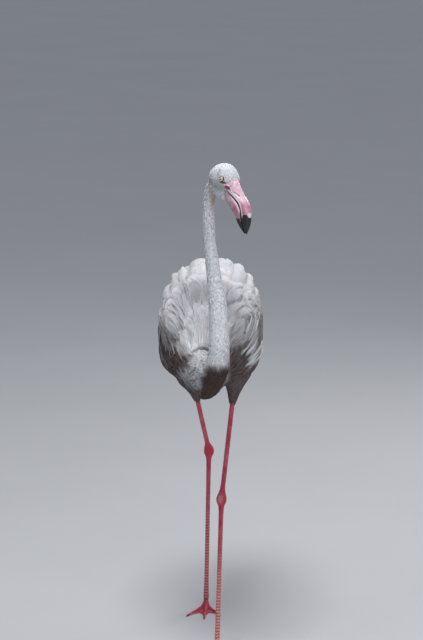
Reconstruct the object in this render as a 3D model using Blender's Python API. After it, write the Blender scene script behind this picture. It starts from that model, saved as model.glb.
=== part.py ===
"""A life-size greater flamingo, walking, as a still model in named solid pieces.

Run with: blender --background --python part.py
Units are metres, +Z is up, the bird faces -Y and its left side is +X. The floor is z = 0.
"""

import math

import bmesh
import bpy
import numpy as np
from mathutils import Matrix, Vector

# ---------------------------------------------------------------- driving sizes
GAP = 0.0003  # the clear joint between neighbouring pieces
TARSUS = 0.372  # the long lower leg, from ankle to foot
MIDDLE_TOE = 0.082
EYE_RADIUS = 0.0068

# The axis of trunk and neck, from rump to nape. Each station is
# x, y, z, half width, half height above the axis, half height below it.
BODY_AXIS = (
    (0.0220, 0.232, 0.674, 0.0140, 0.0140, 0.0120),
    (0.0190, 0.200, 0.681, 0.0440, 0.0480, 0.0380),
    (0.0115, 0.130, 0.699, 0.0840, 0.1080, 0.0780),
    (0.0020, 0.050, 0.706, 0.1060, 0.1490, 0.1110),
    (-0.0050, -0.040, 0.702, 0.1125, 0.1520, 0.1020),
    (-0.0115, -0.112, 0.688, 0.0940, 0.1180, 0.0700),
    (-0.0150, -0.165, 0.674, 0.0670, 0.0820, 0.0630),
    (-0.0160, -0.208, 0.660, 0.0440, 0.0560, 0.0540),
    (-0.0060, -0.250, 0.669, 0.0350, 0.0400, 0.0435),
    (0.0105, -0.278, 0.691, 0.0270, 0.0290, 0.0315),
    (0.0156, -0.286, 0.722, 0.0228, 0.0238, 0.0242),
    (0.0164, -0.285, 0.753, 0.0206, 0.0212, 0.0214),
    (0.0160, -0.277, 0.785, 0.0197, 0.0202, 0.0202),
    (0.0115, -0.263, 0.843, 0.0176, 0.0184, 0.0184),
    (0.0038, -0.250, 0.902, 0.0145, 0.0152, 0.0152),
    (-0.0042, -0.243, 0.968, 0.0124, 0.0130, 0.0130),
    (-0.0065, -0.242, 1.027, 0.0118, 0.0124, 0.0124),
    (-0.0045, -0.244, 1.066, 0.0122, 0.0130, 0.0130),
    (0.0030, -0.252, 1.090, 0.0130, 0.0138, 0.0138),
    (0.0140, -0.263, 1.108, 0.0115, 0.0120, 0.0120),
)
PEAR = 0.09  # how much the trunk's sections widen below and narrow above
ROUND_ABOVE, ROUND_BELOW = 2.15, 2.7  # squareness of the sections' upper and lower halves
# Where the long loft is parted, as places along the list of stations.
TRUNK_END = 6.35
NECK_PARTS = {"neck_lower": (TRUNK_END, 11.0), "neck_middle": (11.0, 14.5), "neck_upper": (14.5, 19.0)}

HEAD_CENTRE = Vector((0.0225, -0.270, 1.1134))
HEAD_YAW = math.radians(45.0)  # the bird looks to its left
EYE_PLACE = (0.0182, 0.0188, -0.0035)  # forward, out, up

# The head, from back to bill base, in its own frame:
# forward, middle height, half width, half height above, half height below.
HEAD_STATIONS = (
    (-0.0300, -0.0030, 0.0030, 0.0040, 0.0040),
    (-0.0275, -0.0020, 0.0105, 0.0105, 0.0105),
    (-0.0190, -0.0010, 0.0175, 0.0175, 0.0185),
    (-0.0050, -0.0010, 0.0225, 0.0258, 0.0230),
    (0.0110, -0.0020, 0.0235, 0.0288, 0.0245),
    (0.0240, -0.0060, 0.0222, 0.0288, 0.0250),
    (0.0350, -0.0120, 0.0180, 0.0240, 0.0225),
    (0.0425, -0.0175, 0.0125, 0.0160, 0.0160),
    (0.0460, -0.0210, 0.0050, 0.0060, 0.0060),
)
# The feathered throat that joins neck and lower bill, in the head's frame:
# forward, height, half width, half height.
THROAT_STATIONS = (
    (-0.0300, -0.0340, 0.0060, 0.0070),
    (-0.0180, -0.0345, 0.0085, 0.0095),
    (-0.0040, -0.0375, 0.0092, 0.0110),
    (0.0090, -0.0410, 0.0096, 0.0115),
    (0.0180, -0.0430, 0.0092, 0.0100),
)

# Bill profiles in the head's frame, as forward and up: the ridge, the gape line and the keel.
RIDGE = ((0.0330, 0.0020), (0.0445, -0.0030), (0.0525, -0.0200), (0.0630, -0.0370), (0.0750, -0.0500),
         (0.0824, -0.0640), (0.0844, -0.0820), (0.0815, -0.1010), (0.0745, -0.1180))
GAPE = ((0.0210, -0.0235), (0.0295, -0.0290), (0.0400, -0.0355), (0.0510, -0.0430), (0.0610, -0.0515),
        (0.0675, -0.0640), (0.0690, -0.0810), (0.0700, -0.0980), (0.0722, -0.1155))
KEEL = ((0.0100, -0.0330), (0.0155, -0.0465), (0.0230, -0.0575), (0.0310, -0.0665), (0.0385, -0.0755),
        (0.0450, -0.0855), (0.0510, -0.0975), (0.0590, -0.1080), (0.0695, -0.1170))
UPPER_BILL_HALF_WIDTHS = (0.0125, 0.0132, 0.0128, 0.0122, 0.0124, 0.0122, 0.0108, 0.0082, 0.0032)
LOWER_BILL_HALF_WIDTHS = (0.0090, 0.0104, 0.0114, 0.0118, 0.0114, 0.0104, 0.0086, 0.0062, 0.0024)
BILL_TIP_STARTS = 5.6  # where pink turns black, along the list of stations

# A folded wing is a shell over the trunk, from the bend to the tip. Each station is
# y, half width and half height of the oval it follows, that oval's height, and the
# angles of its lower and upper edge on the oval, in degrees from straight out.
WING_STATIONS = (
    (-0.142, 0.078, 0.070, 0.750, -2.0, 14.0),
    (-0.134, 0.090, 0.092, 0.746, -14.0, 32.0),
    (-0.112, 0.103, 0.117, 0.738, -21.0, 54.0),
    (-0.070, 0.1115, 0.137, 0.730, -22.0, 73.0),
    (-0.010, 0.1165, 0.149, 0.7235, -21.0, 84.0),
    (0.050, 0.1120, 0.148, 0.7215, -17.0, 87.0),
    (0.110, 0.1000, 0.131, 0.718, -11.0, 87.5),
    (0.165, 0.0810, 0.106, 0.711, -4.0, 87.0),
    (0.215, 0.0590, 0.079, 0.699, 3.0, 86.0),
    (0.262, 0.0370, 0.048, 0.685, 12.0, 82.0),
    (0.294, 0.0200, 0.024, 0.678, 22.0, 70.0),
)
BODY_TURN = 0.10  # how far the body's midline drifts to the left for each metre back from the breast
WING_SHIFT = -0.0006
WING_SQUARENESS = 2.3
WING_INSIDE = 0.62  # how far in the shell reaches before the trunk cuts it off
WING_LOBES = 5.0  # long feathers that scallop the wing
WING_LOBE_DEPTH = 0.0035

# The tail: y, z, half width, half thickness.
TAIL_STATIONS = (
    (0.150, 0.672, 0.030, 0.018),
    (0.200, 0.667, 0.045, 0.015),
    (0.250, 0.658, 0.044, 0.010),
    (0.286, 0.651, 0.037, 0.006),
    (0.298, 0.649, 0.026, 0.002),
)
# Black flight feathers that show below each wing's tip: y, distance out, z, half width, half thickness.
PRIMARY_STATIONS = (
    (0.165, 0.060, 0.686, 0.007, 0.009),
    (0.215, 0.046, 0.678, 0.010, 0.008),
    (0.262, 0.033, 0.668, 0.011, 0.005),
    (0.300, 0.026, 0.660, 0.008, 0.003),
    (0.312, 0.024, 0.657, 0.003, 0.0012),
)

# Legs. "left" is the leading leg, "right" the trailing one.
KNEE = {"left": Vector((0.058, -0.075, 0.660)), "right": Vector((-0.053, 0.010, 0.640))}
ANKLE = {"left": Vector((0.0230, -0.050, 0.329)), "right": Vector((-0.0060, 0.150, 0.3905))}
FOOT_JOINT = {"left": Vector((0.0115, -0.2530, 0.0170)), "right": Vector((-0.0130, 0.1420, 0.0185))}
THIGH_END = {"left": 0.300, "right": 0.430}  # where the feathers stop, from knee to ankle
THIGH_SIZES = ((0.038, 0.062), (0.034, 0.054), (0.023, 0.035), (0.0135, 0.0185), (0.0078, 0.0092))
SHANK_RADIUS = 0.0053
ANKLE_HALF_LENGTH = 0.026
ANKLE_SIZES = ((-1.0, 0.0056, 0.0064), (-0.55, 0.0082, 0.0105), (-0.1, 0.0116, 0.0148),
               (0.25, 0.0112, 0.0140), (0.62, 0.0072, 0.0090), (1.0, 0.0057, 0.0066))
TARSUS_RADII = ((0.0, 0.0057, 0.0066), (0.12, 0.0052, 0.0060), (0.5, 0.0050, 0.0058), (0.85, 0.0053, 0.0060),
                (0.96, 0.0066, 0.0066), (1.0, 0.0060, 0.0055))
# Front toes: name, spread from straight ahead in degrees (outwards is positive), share of the middle toe.
TOES = (("inner", -33.0, 0.80), ("middle", -2.0, 1.00), ("outer", 29.0, 0.93))
TOE_RADIUS = 0.0048
CLAW_LENGTH = 0.0085
WEB_THICKNESS = 0.0016
HIND_TOE_LENGTH = 0.014
FOOT_TURN = {"left": math.radians(4.0), "right": math.radians(-5.0)}

AROUND_TRUNK, AROUND_WING, AROUND_NECK, AROUND_HEAD, AROUND_BILL, AROUND_LEG = 24, 14, 14, 18, 13, 10

FAN_AROUND = 10

COLOURS = {  # colour, roughness
    "white_plumage": ((0.86, 0.83, 0.81), 0.85),
    "black_plumage": ((0.03, 0.03, 0.035), 0.55),
    "bill_pink": ((0.80, 0.42, 0.48), 0.40),
    "bill_black": ((0.025, 0.022, 0.025), 0.32),
    "leg_red": ((0.62, 0.13, 0.19), 0.50),
    "ankle_red": ((0.52, 0.06, 0.12), 0.50),
    "claw": ((0.10, 0.07, 0.07), 0.40),
    "eye": ((0.85, 0.72, 0.35), 0.10),
}
UP = Vector((0.0, 0.0, 1.0))


# ---------------------------------------------------------------- scene and materials
def clear_scene():
    for old in list(bpy.data.objects):
        bpy.data.objects.remove(old)


def make_collection(name):
    made = bpy.data.collections.new(name)
    bpy.context.scene.collection.children.link(made)
    return made


def material(name):
    """One Principled material for each named colour, made once."""
    found = bpy.data.materials.get(name)
    if found:
        return found
    colour, roughness = COLOURS[name]
    made = bpy.data.materials.new(name)
    made.use_nodes = True
    shader = made.node_tree.nodes["Principled BSDF"]
    shader.inputs["Base Color"].default_value = (*colour, 1.0)
    shader.inputs["Roughness"].default_value = roughness
    made.diffuse_color = (*colour, 1.0)
    return made


# ---------------------------------------------------------------- curves and lofts
def along(stations, places):
    """A smooth (Catmull-Rom) curve through rows of numbers, read at places counted in rows."""
    rows = np.array(stations, float)
    rows = np.vstack((2 * rows[0] - rows[1], rows, 2 * rows[-1] - rows[-2]))
    places = np.clip(np.asarray(places, float), 0, len(rows) - 3)
    first = np.minimum(places.astype(int), len(rows) - 4)
    t = (places - first)[:, None]
    a, b, c, d = (rows[first + i] for i in range(4))
    return 0.5 * (2 * b + (c - a) * t + (2 * a - 5 * b + 4 * c - d) * t**2 + (3 * b - a - 3 * c + d) * t**3)


def frames(points, side_hint):
    """Tangent, side and up at each point of a path; side stays close to side_hint."""
    tangent = np.gradient(points, axis=0)
    tangent /= np.linalg.norm(tangent, axis=1)[:, None]
    hint = np.array(side_hint, float)
    side = hint - (tangent @ hint)[:, None] * tangent
    side /= np.linalg.norm(side, axis=1)[:, None]
    return tangent, side, np.cross(tangent, side)


def oval(count, power=2.0):
    """Unit superellipse as (across, height) pairs, anticlockwise from the side."""
    angle = np.arange(count) * 2 * math.pi / count
    c, s = np.cos(angle), np.sin(angle)
    return np.sign(c) * np.abs(c) ** (2 / power), np.sign(s) * np.abs(s) ** (2 / power)


def egg(count):
    """Unit section of the trunk: squarer and wider below than above."""
    across, height = oval(count, ROUND_ABOVE)
    low_across, low_height = oval(count, ROUND_BELOW)
    across = np.where(height < 0, low_across, across)
    height = np.where(height < 0, low_height, height)
    return across * (1 - PEAR * height), height


def rings_along(points, side_hint, half_width, above, below, count, power=2.0):
    """Oval rings across a path, with their own half heights above and below it."""
    _, side, up = frames(points, side_hint)
    across, height = oval(count, power)
    tall = np.where(height[None, :] > 0, np.asarray(above)[:, None], np.asarray(below)[:, None])
    return (
        points[:, None, :]
        + side[:, None, :] * (across[None, :] * np.asarray(half_width)[:, None])[:, :, None]
        + up[:, None, :] * (height[None, :] * tall)[:, :, None]
    )


def loft(name, rings, finish, collection):
    """A closed solid through a stack of rings, with a flat face on each end."""
    rings = np.asarray(rings, float)
    levels, count = rings.shape[:2]
    mesh = bmesh.new()
    verts = [[mesh.verts.new(p) for p in ring] for ring in rings]
    for low, high in zip(verts, verts[1:]):
        for i in range(count):
            j = (i + 1) % count
            mesh.faces.new((low[i], low[j], high[j], high[i]))
    mesh.faces.new(verts[0][::-1])
    mesh.faces.new(verts[levels - 1])
    return finish_mesh(name, mesh, finish, collection)


def finish_mesh(name, mesh, finish, collection):
    """Turns a closed bmesh into an object of triangles, so that a cutter made from it fits it."""
    bmesh.ops.triangulate(mesh, faces=mesh.faces)
    bmesh.ops.recalc_face_normals(mesh, faces=mesh.faces)
    data = bpy.data.meshes.new(name)
    mesh.to_mesh(data)
    mesh.free()
    made = bpy.data.objects.new(name, data)
    collection.objects.link(made)
    data.materials.append(material(finish))
    data.shade_smooth()
    data.set_sharp_from_angle(angle=math.radians(40))
    return made


def evaluated_copy(source, name, collection):
    """The object's mesh with its modifiers applied, as a new object."""
    graph = bpy.context.evaluated_depsgraph_get()
    data = bpy.data.meshes.new_from_object(source.evaluated_get(graph))
    made = bpy.data.objects.new(name, data)
    made.matrix_world = source.matrix_world.copy()
    collection.objects.link(made)
    return made


def cutter_from(source, cutters, swell=GAP):
    """A copy of a solid, swollen along its normals, to cut a neighbour with."""
    bpy.context.view_layer.update()
    made = evaluated_copy(source, "cut_by_" + source.name, cutters)
    mesh = bmesh.new()
    mesh.from_mesh(made.data)
    mesh.normal_update()
    moves = [vert.normal * swell for vert in mesh.verts]
    for vert, move in zip(mesh.verts, moves):
        vert.co += move
    mesh.to_mesh(made.data)
    mesh.free()
    made.hide_render = True
    made.display_type = "WIRE"
    return made


def boolean(target, tool, operation):
    change = target.modifiers.new(operation.lower() + "_" + tool.name, "BOOLEAN")
    change.operation = operation
    change.object = tool
    change.solver = "EXACT"
    return change


def cut(target, neighbours, cutters):
    """Takes the swollen neighbours out of the target, so that the pieces meet at a fine joint."""
    for neighbour in neighbours:
        boolean(target, cutter_from(neighbour, cutters), "DIFFERENCE")


def merge(name, pieces, parts):
    """One solid from pieces that overlap, by Boolean union."""
    base = pieces[0]
    for other in pieces[1:]:
        boolean(base, other, "UNION")
    bpy.context.view_layer.update()
    made = evaluated_copy(base, name, parts)
    for piece in pieces:
        bpy.data.objects.remove(piece)
    made.data.shade_smooth()
    made.data.set_sharp_from_angle(angle=math.radians(40))
    return made


# ---------------------------------------------------------------- trunk and neck
def body_rings(start, end, levels, count):
    """Rings of the long loft of trunk and neck between two places on its list of stations."""
    fine = np.linspace(0, len(BODY_AXIS) - 1, 400)
    path = along(BODY_AXIS, fine)
    places = np.linspace(start, end, levels)
    rows = along(BODY_AXIS, places)
    _, side, up = frames(path[:, :3], (1, 0, 0))
    pick = np.rint(places / (len(BODY_AXIS) - 1) * 399).astype(int)
    across, height = egg(count)
    trunk = np.clip((TRUNK_END + 1 - places) / 2, 0, 1)[:, None]
    round_across, round_height = oval(count)
    across = across * trunk + round_across * (1 - trunk)
    height = height * trunk + round_height * (1 - trunk)
    tall = np.where(height > 0, rows[:, 4][:, None], rows[:, 5][:, None])
    return (
        rows[:, None, :3]
        + side[pick][:, None, :] * (across * rows[:, 3][:, None])[:, :, None]
        + up[pick][:, None, :] * (height * tall)[:, :, None]
    )


def make_trunk(parts):
    return loft("trunk", body_rings(0.0, TRUNK_END, 16, AROUND_TRUNK), "white_plumage", parts)


def make_neck(parts):
    """The neck in three lengths, parted by thin flat joints across its path."""
    made = []
    for name, (start, end) in NECK_PARTS.items():
        rings = body_rings(start, end, 10, AROUND_NECK)
        step = rings[1].mean(axis=0) - rings[0].mean(axis=0)
        rings[0] += step / np.linalg.norm(step) * GAP
        made.append(loft(name, rings, "white_plumage", parts))
    return made


# ---------------------------------------------------------------- head, bill and eyes
def head_matrix():
    """From the head's frame (x forward, y to the bird's left, z up) to the model's."""
    turn = Matrix.Rotation(HEAD_YAW - math.pi / 2, 4, "Z")
    return Matrix.Translation(HEAD_CENTRE) @ turn


def to_head(rings):
    matrix = np.array(head_matrix())
    return rings @ matrix[:3, :3].T + matrix[:3, 3]


def make_head(parts):
    rows = along(HEAD_STATIONS, np.linspace(0, len(HEAD_STATIONS) - 1, 14))
    points = np.column_stack((rows[:, 0], np.zeros(len(rows)), rows[:, 1]))
    across, height = oval(AROUND_HEAD, 2.25)
    tall = np.where(height[None, :] > 0, rows[:, 3][:, None], rows[:, 4][:, None])
    rings = np.repeat(points[:, None, :], AROUND_HEAD, axis=1)
    rings[:, :, 1] += across[None, :] * rows[:, 2][:, None]
    rings[:, :, 2] += height[None, :] * tall
    return loft("head", to_head(rings), "white_plumage", parts)


def make_throat(parts):
    rows = along(THROAT_STATIONS, np.linspace(0, len(THROAT_STATIONS) - 1, 8))
    points = np.column_stack((rows[:, 0], np.zeros(len(rows)), rows[:, 1]))
    rings = rings_along(points, (0, 1, 0), rows[:, 2], rows[:, 3], rows[:, 3], 12)
    return loft("throat", to_head(rings), "white_plumage", parts)


def bill_rings(edge, far_edge, half_widths, start, end, levels, arch):
    """Rings of half a bill: flat along the gape, arched to the far edge."""
    places = np.linspace(start, end, levels)
    near = along(edge, places)
    far = along(far_edge, places)
    wide = along([(w,) for w in half_widths], places)[:, 0]
    angle = np.linspace(0, math.pi, AROUND_BILL - 5)
    across = np.concatenate((np.cos(angle), np.linspace(-1, 1, 7)[1:-1]))
    rise = np.concatenate((np.sin(angle) ** arch, np.zeros(5)))
    middle = near[:, None, :] + (far - near)[:, None, :] * rise[None, :, None]
    rings = np.zeros((levels, len(across), 3))
    rings[:, :, 0] = middle[:, :, 0]
    rings[:, :, 1] = across[None, :] * wide[:, None]
    rings[:, :, 2] = middle[:, :, 1]
    return rings


def make_bill(parts):
    """Upper and lower bill, each with its black tip as a piece of its own."""
    last = len(GAPE) - 1
    gape = np.array(GAPE)
    ridge = np.array(RIDGE)
    keel = np.array(KEEL)
    to_keel = keel - gape
    lower_edge = gape + to_keel / np.linalg.norm(to_keel, axis=1)[:, None] * 0.0006
    made = []
    halves = (
        ("bill_upper", "bill_tip_upper", gape, ridge, UPPER_BILL_HALF_WIDTHS, 0.66),
        ("bill_lower", "bill_tip_lower", lower_edge, keel, LOWER_BILL_HALF_WIDTHS, 0.42),
    )
    for name, tip_name, edge, far_edge, widths, arch in halves:
        for part, start, end, finish in (
            (name, 0.0, BILL_TIP_STARTS, "bill_pink"),
            (tip_name, BILL_TIP_STARTS, last, "bill_black"),
        ):
            rings = bill_rings(edge, far_edge, widths, start, end, 7 if start else 10, arch)
            if start:
                step = rings[1].mean(axis=0) - rings[0].mean(axis=0)
                rings[0] += step / np.linalg.norm(step) * GAP
            made.append(loft(part, to_head(rings), finish, parts))
    return made


def make_eyes(parts):
    made = []
    for name, sign in (("eye_left", 1), ("eye_right", -1)):
        forward, out, up = EYE_PLACE
        centre = head_matrix() @ Vector((forward, sign * out, up))
        bpy.ops.mesh.primitive_uv_sphere_add(segments=12, ring_count=8, radius=EYE_RADIUS, location=centre)
        eye = bpy.context.object
        eye.name = name
        eye.data.name = name
        eye.data.materials.append(material("eye"))
        eye.data.shade_smooth()
        for holder in list(eye.users_collection):
            holder.objects.unlink(eye)
        parts.objects.link(eye)
        made.append(eye)
    return made


# ---------------------------------------------------------------- wings and tail
def wing_rings(sign):
    """Rings of a folded wing: an arc of the oval outside, the same arc drawn in below it."""
    rows = along(WING_STATIONS, np.linspace(0, len(WING_STATIONS) - 1, 13))
    share = np.linspace(0, 1, AROUND_WING)
    rings = []
    for y, wide, tall, middle, low, high in rows:
        angle = np.radians(low + (high - low) * share)
        c, s = np.cos(angle), np.sin(angle)
        reach = (np.abs(c) ** WING_SQUARENESS + np.abs(s) ** WING_SQUARENESS) ** (-1 / WING_SQUARENESS)
        lobes = np.abs(np.sin(share * math.pi * WING_LOBES + y * 22)) - 0.6
        grow = 1 + WING_LOBE_DEPTH / wide * lobes * np.sin(share * math.pi) ** 0.5
        outer = np.column_stack((c * reach * wide * grow, s * reach * tall * grow))
        inner = outer[::-3] * WING_INSIDE
        flat = np.vstack((outer, inner))
        x = WING_SHIFT + BODY_TURN * y + sign * flat[:, 0]
        rings.append(np.column_stack((x, np.full(len(flat), y), middle + flat[:, 1])))
    return np.array(rings)


def make_wings(parts):
    return [
        loft(name, wing_rings(sign), "white_plumage", parts)
        for name, sign in (("wing_left", 1), ("wing_right", -1))
    ]


def flat_fan(name, stations, sign, finish, parts):
    """A flat tapering bunch of feathers: y, distance out, z, half width, half thickness."""
    rows = along(stations, np.linspace(0, len(stations) - 1, 7))
    across, height = oval(FAN_AROUND, 2.4)
    rings = [
        np.column_stack(
            (BODY_TURN * y + sign * (out + across * wide), np.full(FAN_AROUND, y), z + height * thick)
        )
        for y, out, z, wide, thick in rows
    ]
    return loft(name, np.array(rings), finish, parts)


def make_tail(parts):
    stations = [(y, 0.0, z, wide, thick) for y, z, wide, thick in TAIL_STATIONS]
    return flat_fan("tail", stations, 1, "white_plumage", parts)


def make_primaries(parts):
    return [
        flat_fan(name, PRIMARY_STATIONS, sign, "black_plumage", parts)
        for name, sign in (("primaries_left", 1), ("primaries_right", -1))
    ]


# ---------------------------------------------------------------- legs and feet
def limb(name, start, end, rows, finish, parts, count=AROUND_LEG, levels=6):
    """A limb between two points: rows of share along it, half width and half depth."""
    shares = along(rows, np.linspace(0, len(rows) - 1, levels))
    a, b = np.array(start), np.array(end)
    points = a + (b - a) * shares[:, :1]
    rings = rings_along(points, (1, 0, 0), shares[:, 1], shares[:, 2], shares[:, 2], count)
    return loft(name, rings, finish, parts)


def make_leg(side, parts):
    """Feathered thigh, bare shank, ankle and tarsus, parted by thin flat joints."""
    knee, ankle, foot = KNEE[side], ANKLE[side], FOOT_JOINT[side]
    down = (ankle - knee).normalized()
    ahead = (foot - ankle).normalized()
    thigh_end = knee.lerp(ankle, THIGH_END[side])
    thigh_rows = [(i / (len(THIGH_SIZES) - 1), *size) for i, size in enumerate(THIGH_SIZES)]
    made = [limb("thigh_" + side, knee, thigh_end, thigh_rows, "white_plumage", parts, 16, 9)]

    shank_end = ankle - down * ANKLE_HALF_LENGTH
    shank_rows = [(0.0, SHANK_RADIUS, SHANK_RADIUS), (0.5, SHANK_RADIUS, SHANK_RADIUS * 1.04),
                  (1.0, ANKLE_SIZES[0][1], ANKLE_SIZES[0][2])]
    made.append(limb("shank_" + side, thigh_end + down * GAP, shank_end - down * GAP, shank_rows,
                     "leg_red", parts))
    made.append(make_ankle(side, ankle, down, ahead, parts))
    tarsus_start = ankle + ahead * (ANKLE_HALF_LENGTH + GAP)
    made.append(limb("tarsus_" + side, tarsus_start, foot, TARSUS_RADII, "leg_red", parts, levels=10))
    return made


def make_ankle(side, ankle, down, ahead, parts):
    """The knob of the ankle, bent from the shank's line to the tarsus's."""
    rows = along(ANKLE_SIZES, np.linspace(0, len(ANKLE_SIZES) - 1, 8))
    points = []
    for share in rows[:, 0]:
        line = down if share < 0 else ahead
        points.append(np.array(ankle + line * (share * ANKLE_HALF_LENGTH)))
    rings = rings_along(np.array(points), (1, 0, 0), rows[:, 1], rows[:, 2], rows[:, 2], 10)
    return loft("ankle_" + side, rings, "ankle_red", parts)


def toe_path(side, spread, length, count=9):
    """Centre line of a front toe: down from the joint and along the floor, pad by pad."""
    joint = FOOT_JOINT[side]
    outward = 1 if side == "left" else -1
    angle = outward * math.radians(spread) + FOOT_TURN[side]
    ahead = np.array((math.sin(angle), -math.cos(angle), 0.0))
    share = np.linspace(0, 1, count)
    floor = TOE_RADIUS * (0.92 - 0.42 * share)
    drop = np.clip(1 - share / (0.22 + joint.z * 6), 0, 1) ** 1.6
    path = np.array(joint)[None, :] + ahead[None, :] * (share * length)[:, None]
    path[:, 2] = floor + (joint.z - floor[0]) * drop
    return path


def toe_radii(count):
    """Toe thickness, swollen at the pads and tapering to the claw."""
    share = np.linspace(0, 1, count)
    pads = 1 + 0.10 * np.cos(share * 6 * math.pi)
    return TOE_RADIUS * (1.05 - 0.52 * share) * pads


def flat_soled(rings):
    """Presses whatever would go below the floor flat against it."""
    rings = np.array(rings)
    rings[:, :, 2] = np.maximum(rings[:, :, 2], 0.0)
    return rings


def make_toe(name, side, spread, length, parts):
    path = toe_path(side, spread, length, 8)
    radius = toe_radii(len(path))
    rings = rings_along(path, (1, 0, 0), radius, radius, radius * 1.12, 8)
    return loft(name, flat_soled(rings), "leg_red", parts)


def make_web(side, parts):
    """The skin between the toes: one thin sheet, with a hollow front edge between each pair."""
    wide, deep = 7, 5
    paths = [toe_path(side, spread, MIDDLE_TOE * share) for _, spread, share in TOES]
    top = np.zeros((wide, deep, 3))
    for i in range(wide):
        toe = min(int(i * 2 / (wide - 1)), 1)
        across = i * 2 / (wide - 1) - toe
        scoop = 1 - 0.30 * math.sin(math.pi * across)
        reach = np.linspace(0.06, 0.88 * scoop, deep) * (len(paths[0]) - 1)
        top[i] = along(paths[toe], reach) * (1 - across) + along(paths[toe + 1], reach) * across
    top[:, :, 2] = np.maximum(top[:, :, 2] * 0.62, WEB_THICKNESS + 0.0006)
    low = top - np.array((0.0, 0.0, WEB_THICKNESS))
    mesh = bmesh.new()
    upper = [[mesh.verts.new(p) for p in row] for row in top]
    lower = [[mesh.verts.new(p) for p in row] for row in low]
    for i in range(wide - 1):
        for j in range(deep - 1):
            mesh.faces.new((upper[i][j], upper[i + 1][j], upper[i + 1][j + 1], upper[i][j + 1]))
            mesh.faces.new((lower[i][j], lower[i][j + 1], lower[i + 1][j + 1], lower[i + 1][j]))
    rim = [(i, 0) for i in range(wide)] + [(wide - 1, j) for j in range(1, deep)]
    rim += [(i, deep - 1) for i in range(wide - 2, -1, -1)] + [(0, j) for j in range(deep - 2, 0, -1)]
    for (i, j), (k, m) in zip(rim, rim[1:] + rim[:1]):
        mesh.faces.new((upper[i][j], lower[i][j], lower[k][m], upper[k][m]))
    return finish_mesh("web_" + side, mesh, "leg_red", parts)


def make_foot(side, parts):
    """Three webbed toes as one piece, with a small hind toe and the claws as pieces of their own."""
    joint = FOOT_JOINT[side]
    bpy.ops.mesh.primitive_uv_sphere_add(segments=8, ring_count=6, radius=0.0088, location=joint)
    knuckle = bpy.context.object
    knuckle.scale = (0.92, 1.0, 0.92)
    bpy.ops.object.transform_apply(location=False, rotation=False, scale=True)
    knuckle.data.materials.append(material("leg_red"))
    pieces = [knuckle]
    for name, spread, share in TOES:
        pieces.append(make_toe(name, side, spread, MIDDLE_TOE * share, parts))
    pieces.append(make_web(side, parts))
    foot = merge("foot_" + side, pieces, parts)
    made = [foot]
    for name, spread, share in TOES:
        made.append(make_claw(f"claw_{name}_{side}", toe_path(side, spread, MIDDLE_TOE * share), parts))
    made.append(make_hind_toe(side, joint, parts))
    return made


def make_claw(name, path, parts):
    """A short blunt claw, continuing the toe to the floor."""
    tip = path[-1]
    ahead = path[-1] - path[-2]
    ahead[2] = 0
    ahead /= np.linalg.norm(ahead)
    share = np.linspace(0, 1, 4)
    points = tip + ahead * (GAP + share * CLAW_LENGTH)[:, None]
    radius = toe_radii(2)[-1] * (0.82 - 0.62 * share)
    points[:, 2] = radius * 1.0 + 0.0012 * np.sin(share * math.pi)
    rings = rings_along(points, (1, 0, 0), radius, radius, radius, 7)
    return loft(name, flat_soled(rings), "claw", parts)


def make_hind_toe(side, joint, parts):
    """The small hind toe, which hangs behind the joint clear of the floor."""
    share = np.linspace(0, 1, 6)
    back = np.array((0.0, 1.0, 0.0))
    start = np.array(joint) + back * 0.0030
    points = start + back * (share * HIND_TOE_LENGTH)[:, None]
    points[:, 2] = joint.z * 0.92 - (joint.z * 0.92 - 0.006) * share * min(1.0, 0.018 / joint.z)
    radius = 0.0034 * (1 - 0.62 * share)
    rings = rings_along(points, (1, 0, 0), radius, radius, radius, 8)
    return loft("hind_toe_" + side, rings, "leg_red", parts)


# ---------------------------------------------------------------- assembly
def centre(parts, cutters):
    """Moves everything level, so that the middle of the whole stands over the origin."""
    bpy.context.view_layer.update()
    corners = []
    for piece in parts.objects:
        points = np.array([piece.matrix_world @ Vector(corner) for corner in piece.bound_box])
        corners.extend((points.min(axis=0), points.max(axis=0)))
    middle = (np.min(corners, axis=0) + np.max(corners, axis=0)) / 2
    shift = Vector((round(-middle[0], 5), round(-middle[1], 5), 0.0))
    for holder in (parts, cutters):
        for piece in holder.objects:
            piece.location += shift
    bpy.context.view_layer.update()
    print("moved level by", tuple(round(v, 5) for v in shift))


def main():
    clear_scene()
    parts = make_collection("flamingo")
    cutters = make_collection("cutters")

    trunk = make_trunk(parts)
    neck = make_neck(parts)
    head = make_head(parts)
    throat = make_throat(parts)
    bill = make_bill(parts)
    eyes = make_eyes(parts)
    wings = make_wings(parts)
    tail = make_tail(parts)
    primaries = make_primaries(parts)

    cut(head, eyes, cutters)
    cut(neck[-1], [head], cutters)
    cut(throat, [head, neck[-1]], cutters)
    for piece in bill[::2]:
        cut(piece, [head, throat], cutters)
    cut(tail, [trunk], cutters)
    for piece in primaries:
        cut(piece, [trunk, tail], cutters)
    for wing, flight in zip(wings, primaries):
        cut(wing, [trunk, tail, flight], cutters)

    for side, wing in (("left", wings[0]), ("right", wings[1])):
        thigh, shank, ankle, tarsus = make_leg(side, parts)
        cut(thigh, [trunk, wing], cutters)
        feet = make_foot(side, parts)
        cut(tarsus, [feet[0]], cutters)
        for piece in feet[1:]:
            cut(piece, [feet[0]], cutters)
        cut(feet[-1], [tarsus], cutters)
    centre(parts, cutters)


main()
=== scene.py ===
# %% [markdown]
# # A walking flamingo in feathers, skin and horn
# This lesson dresses a life-size solid model of a greater flamingo. The solids give the true
# outline. Over them we grow one skin, several coats of feathers, a bill with its grooves, eyes
# with lids, and scaled legs. Almost every surface is a function of two numbers, so numpy can
# work out all of its points at once. Units are metres, +Z is up and the bird faces -Y.

# %% Load the solids
import math

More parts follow.
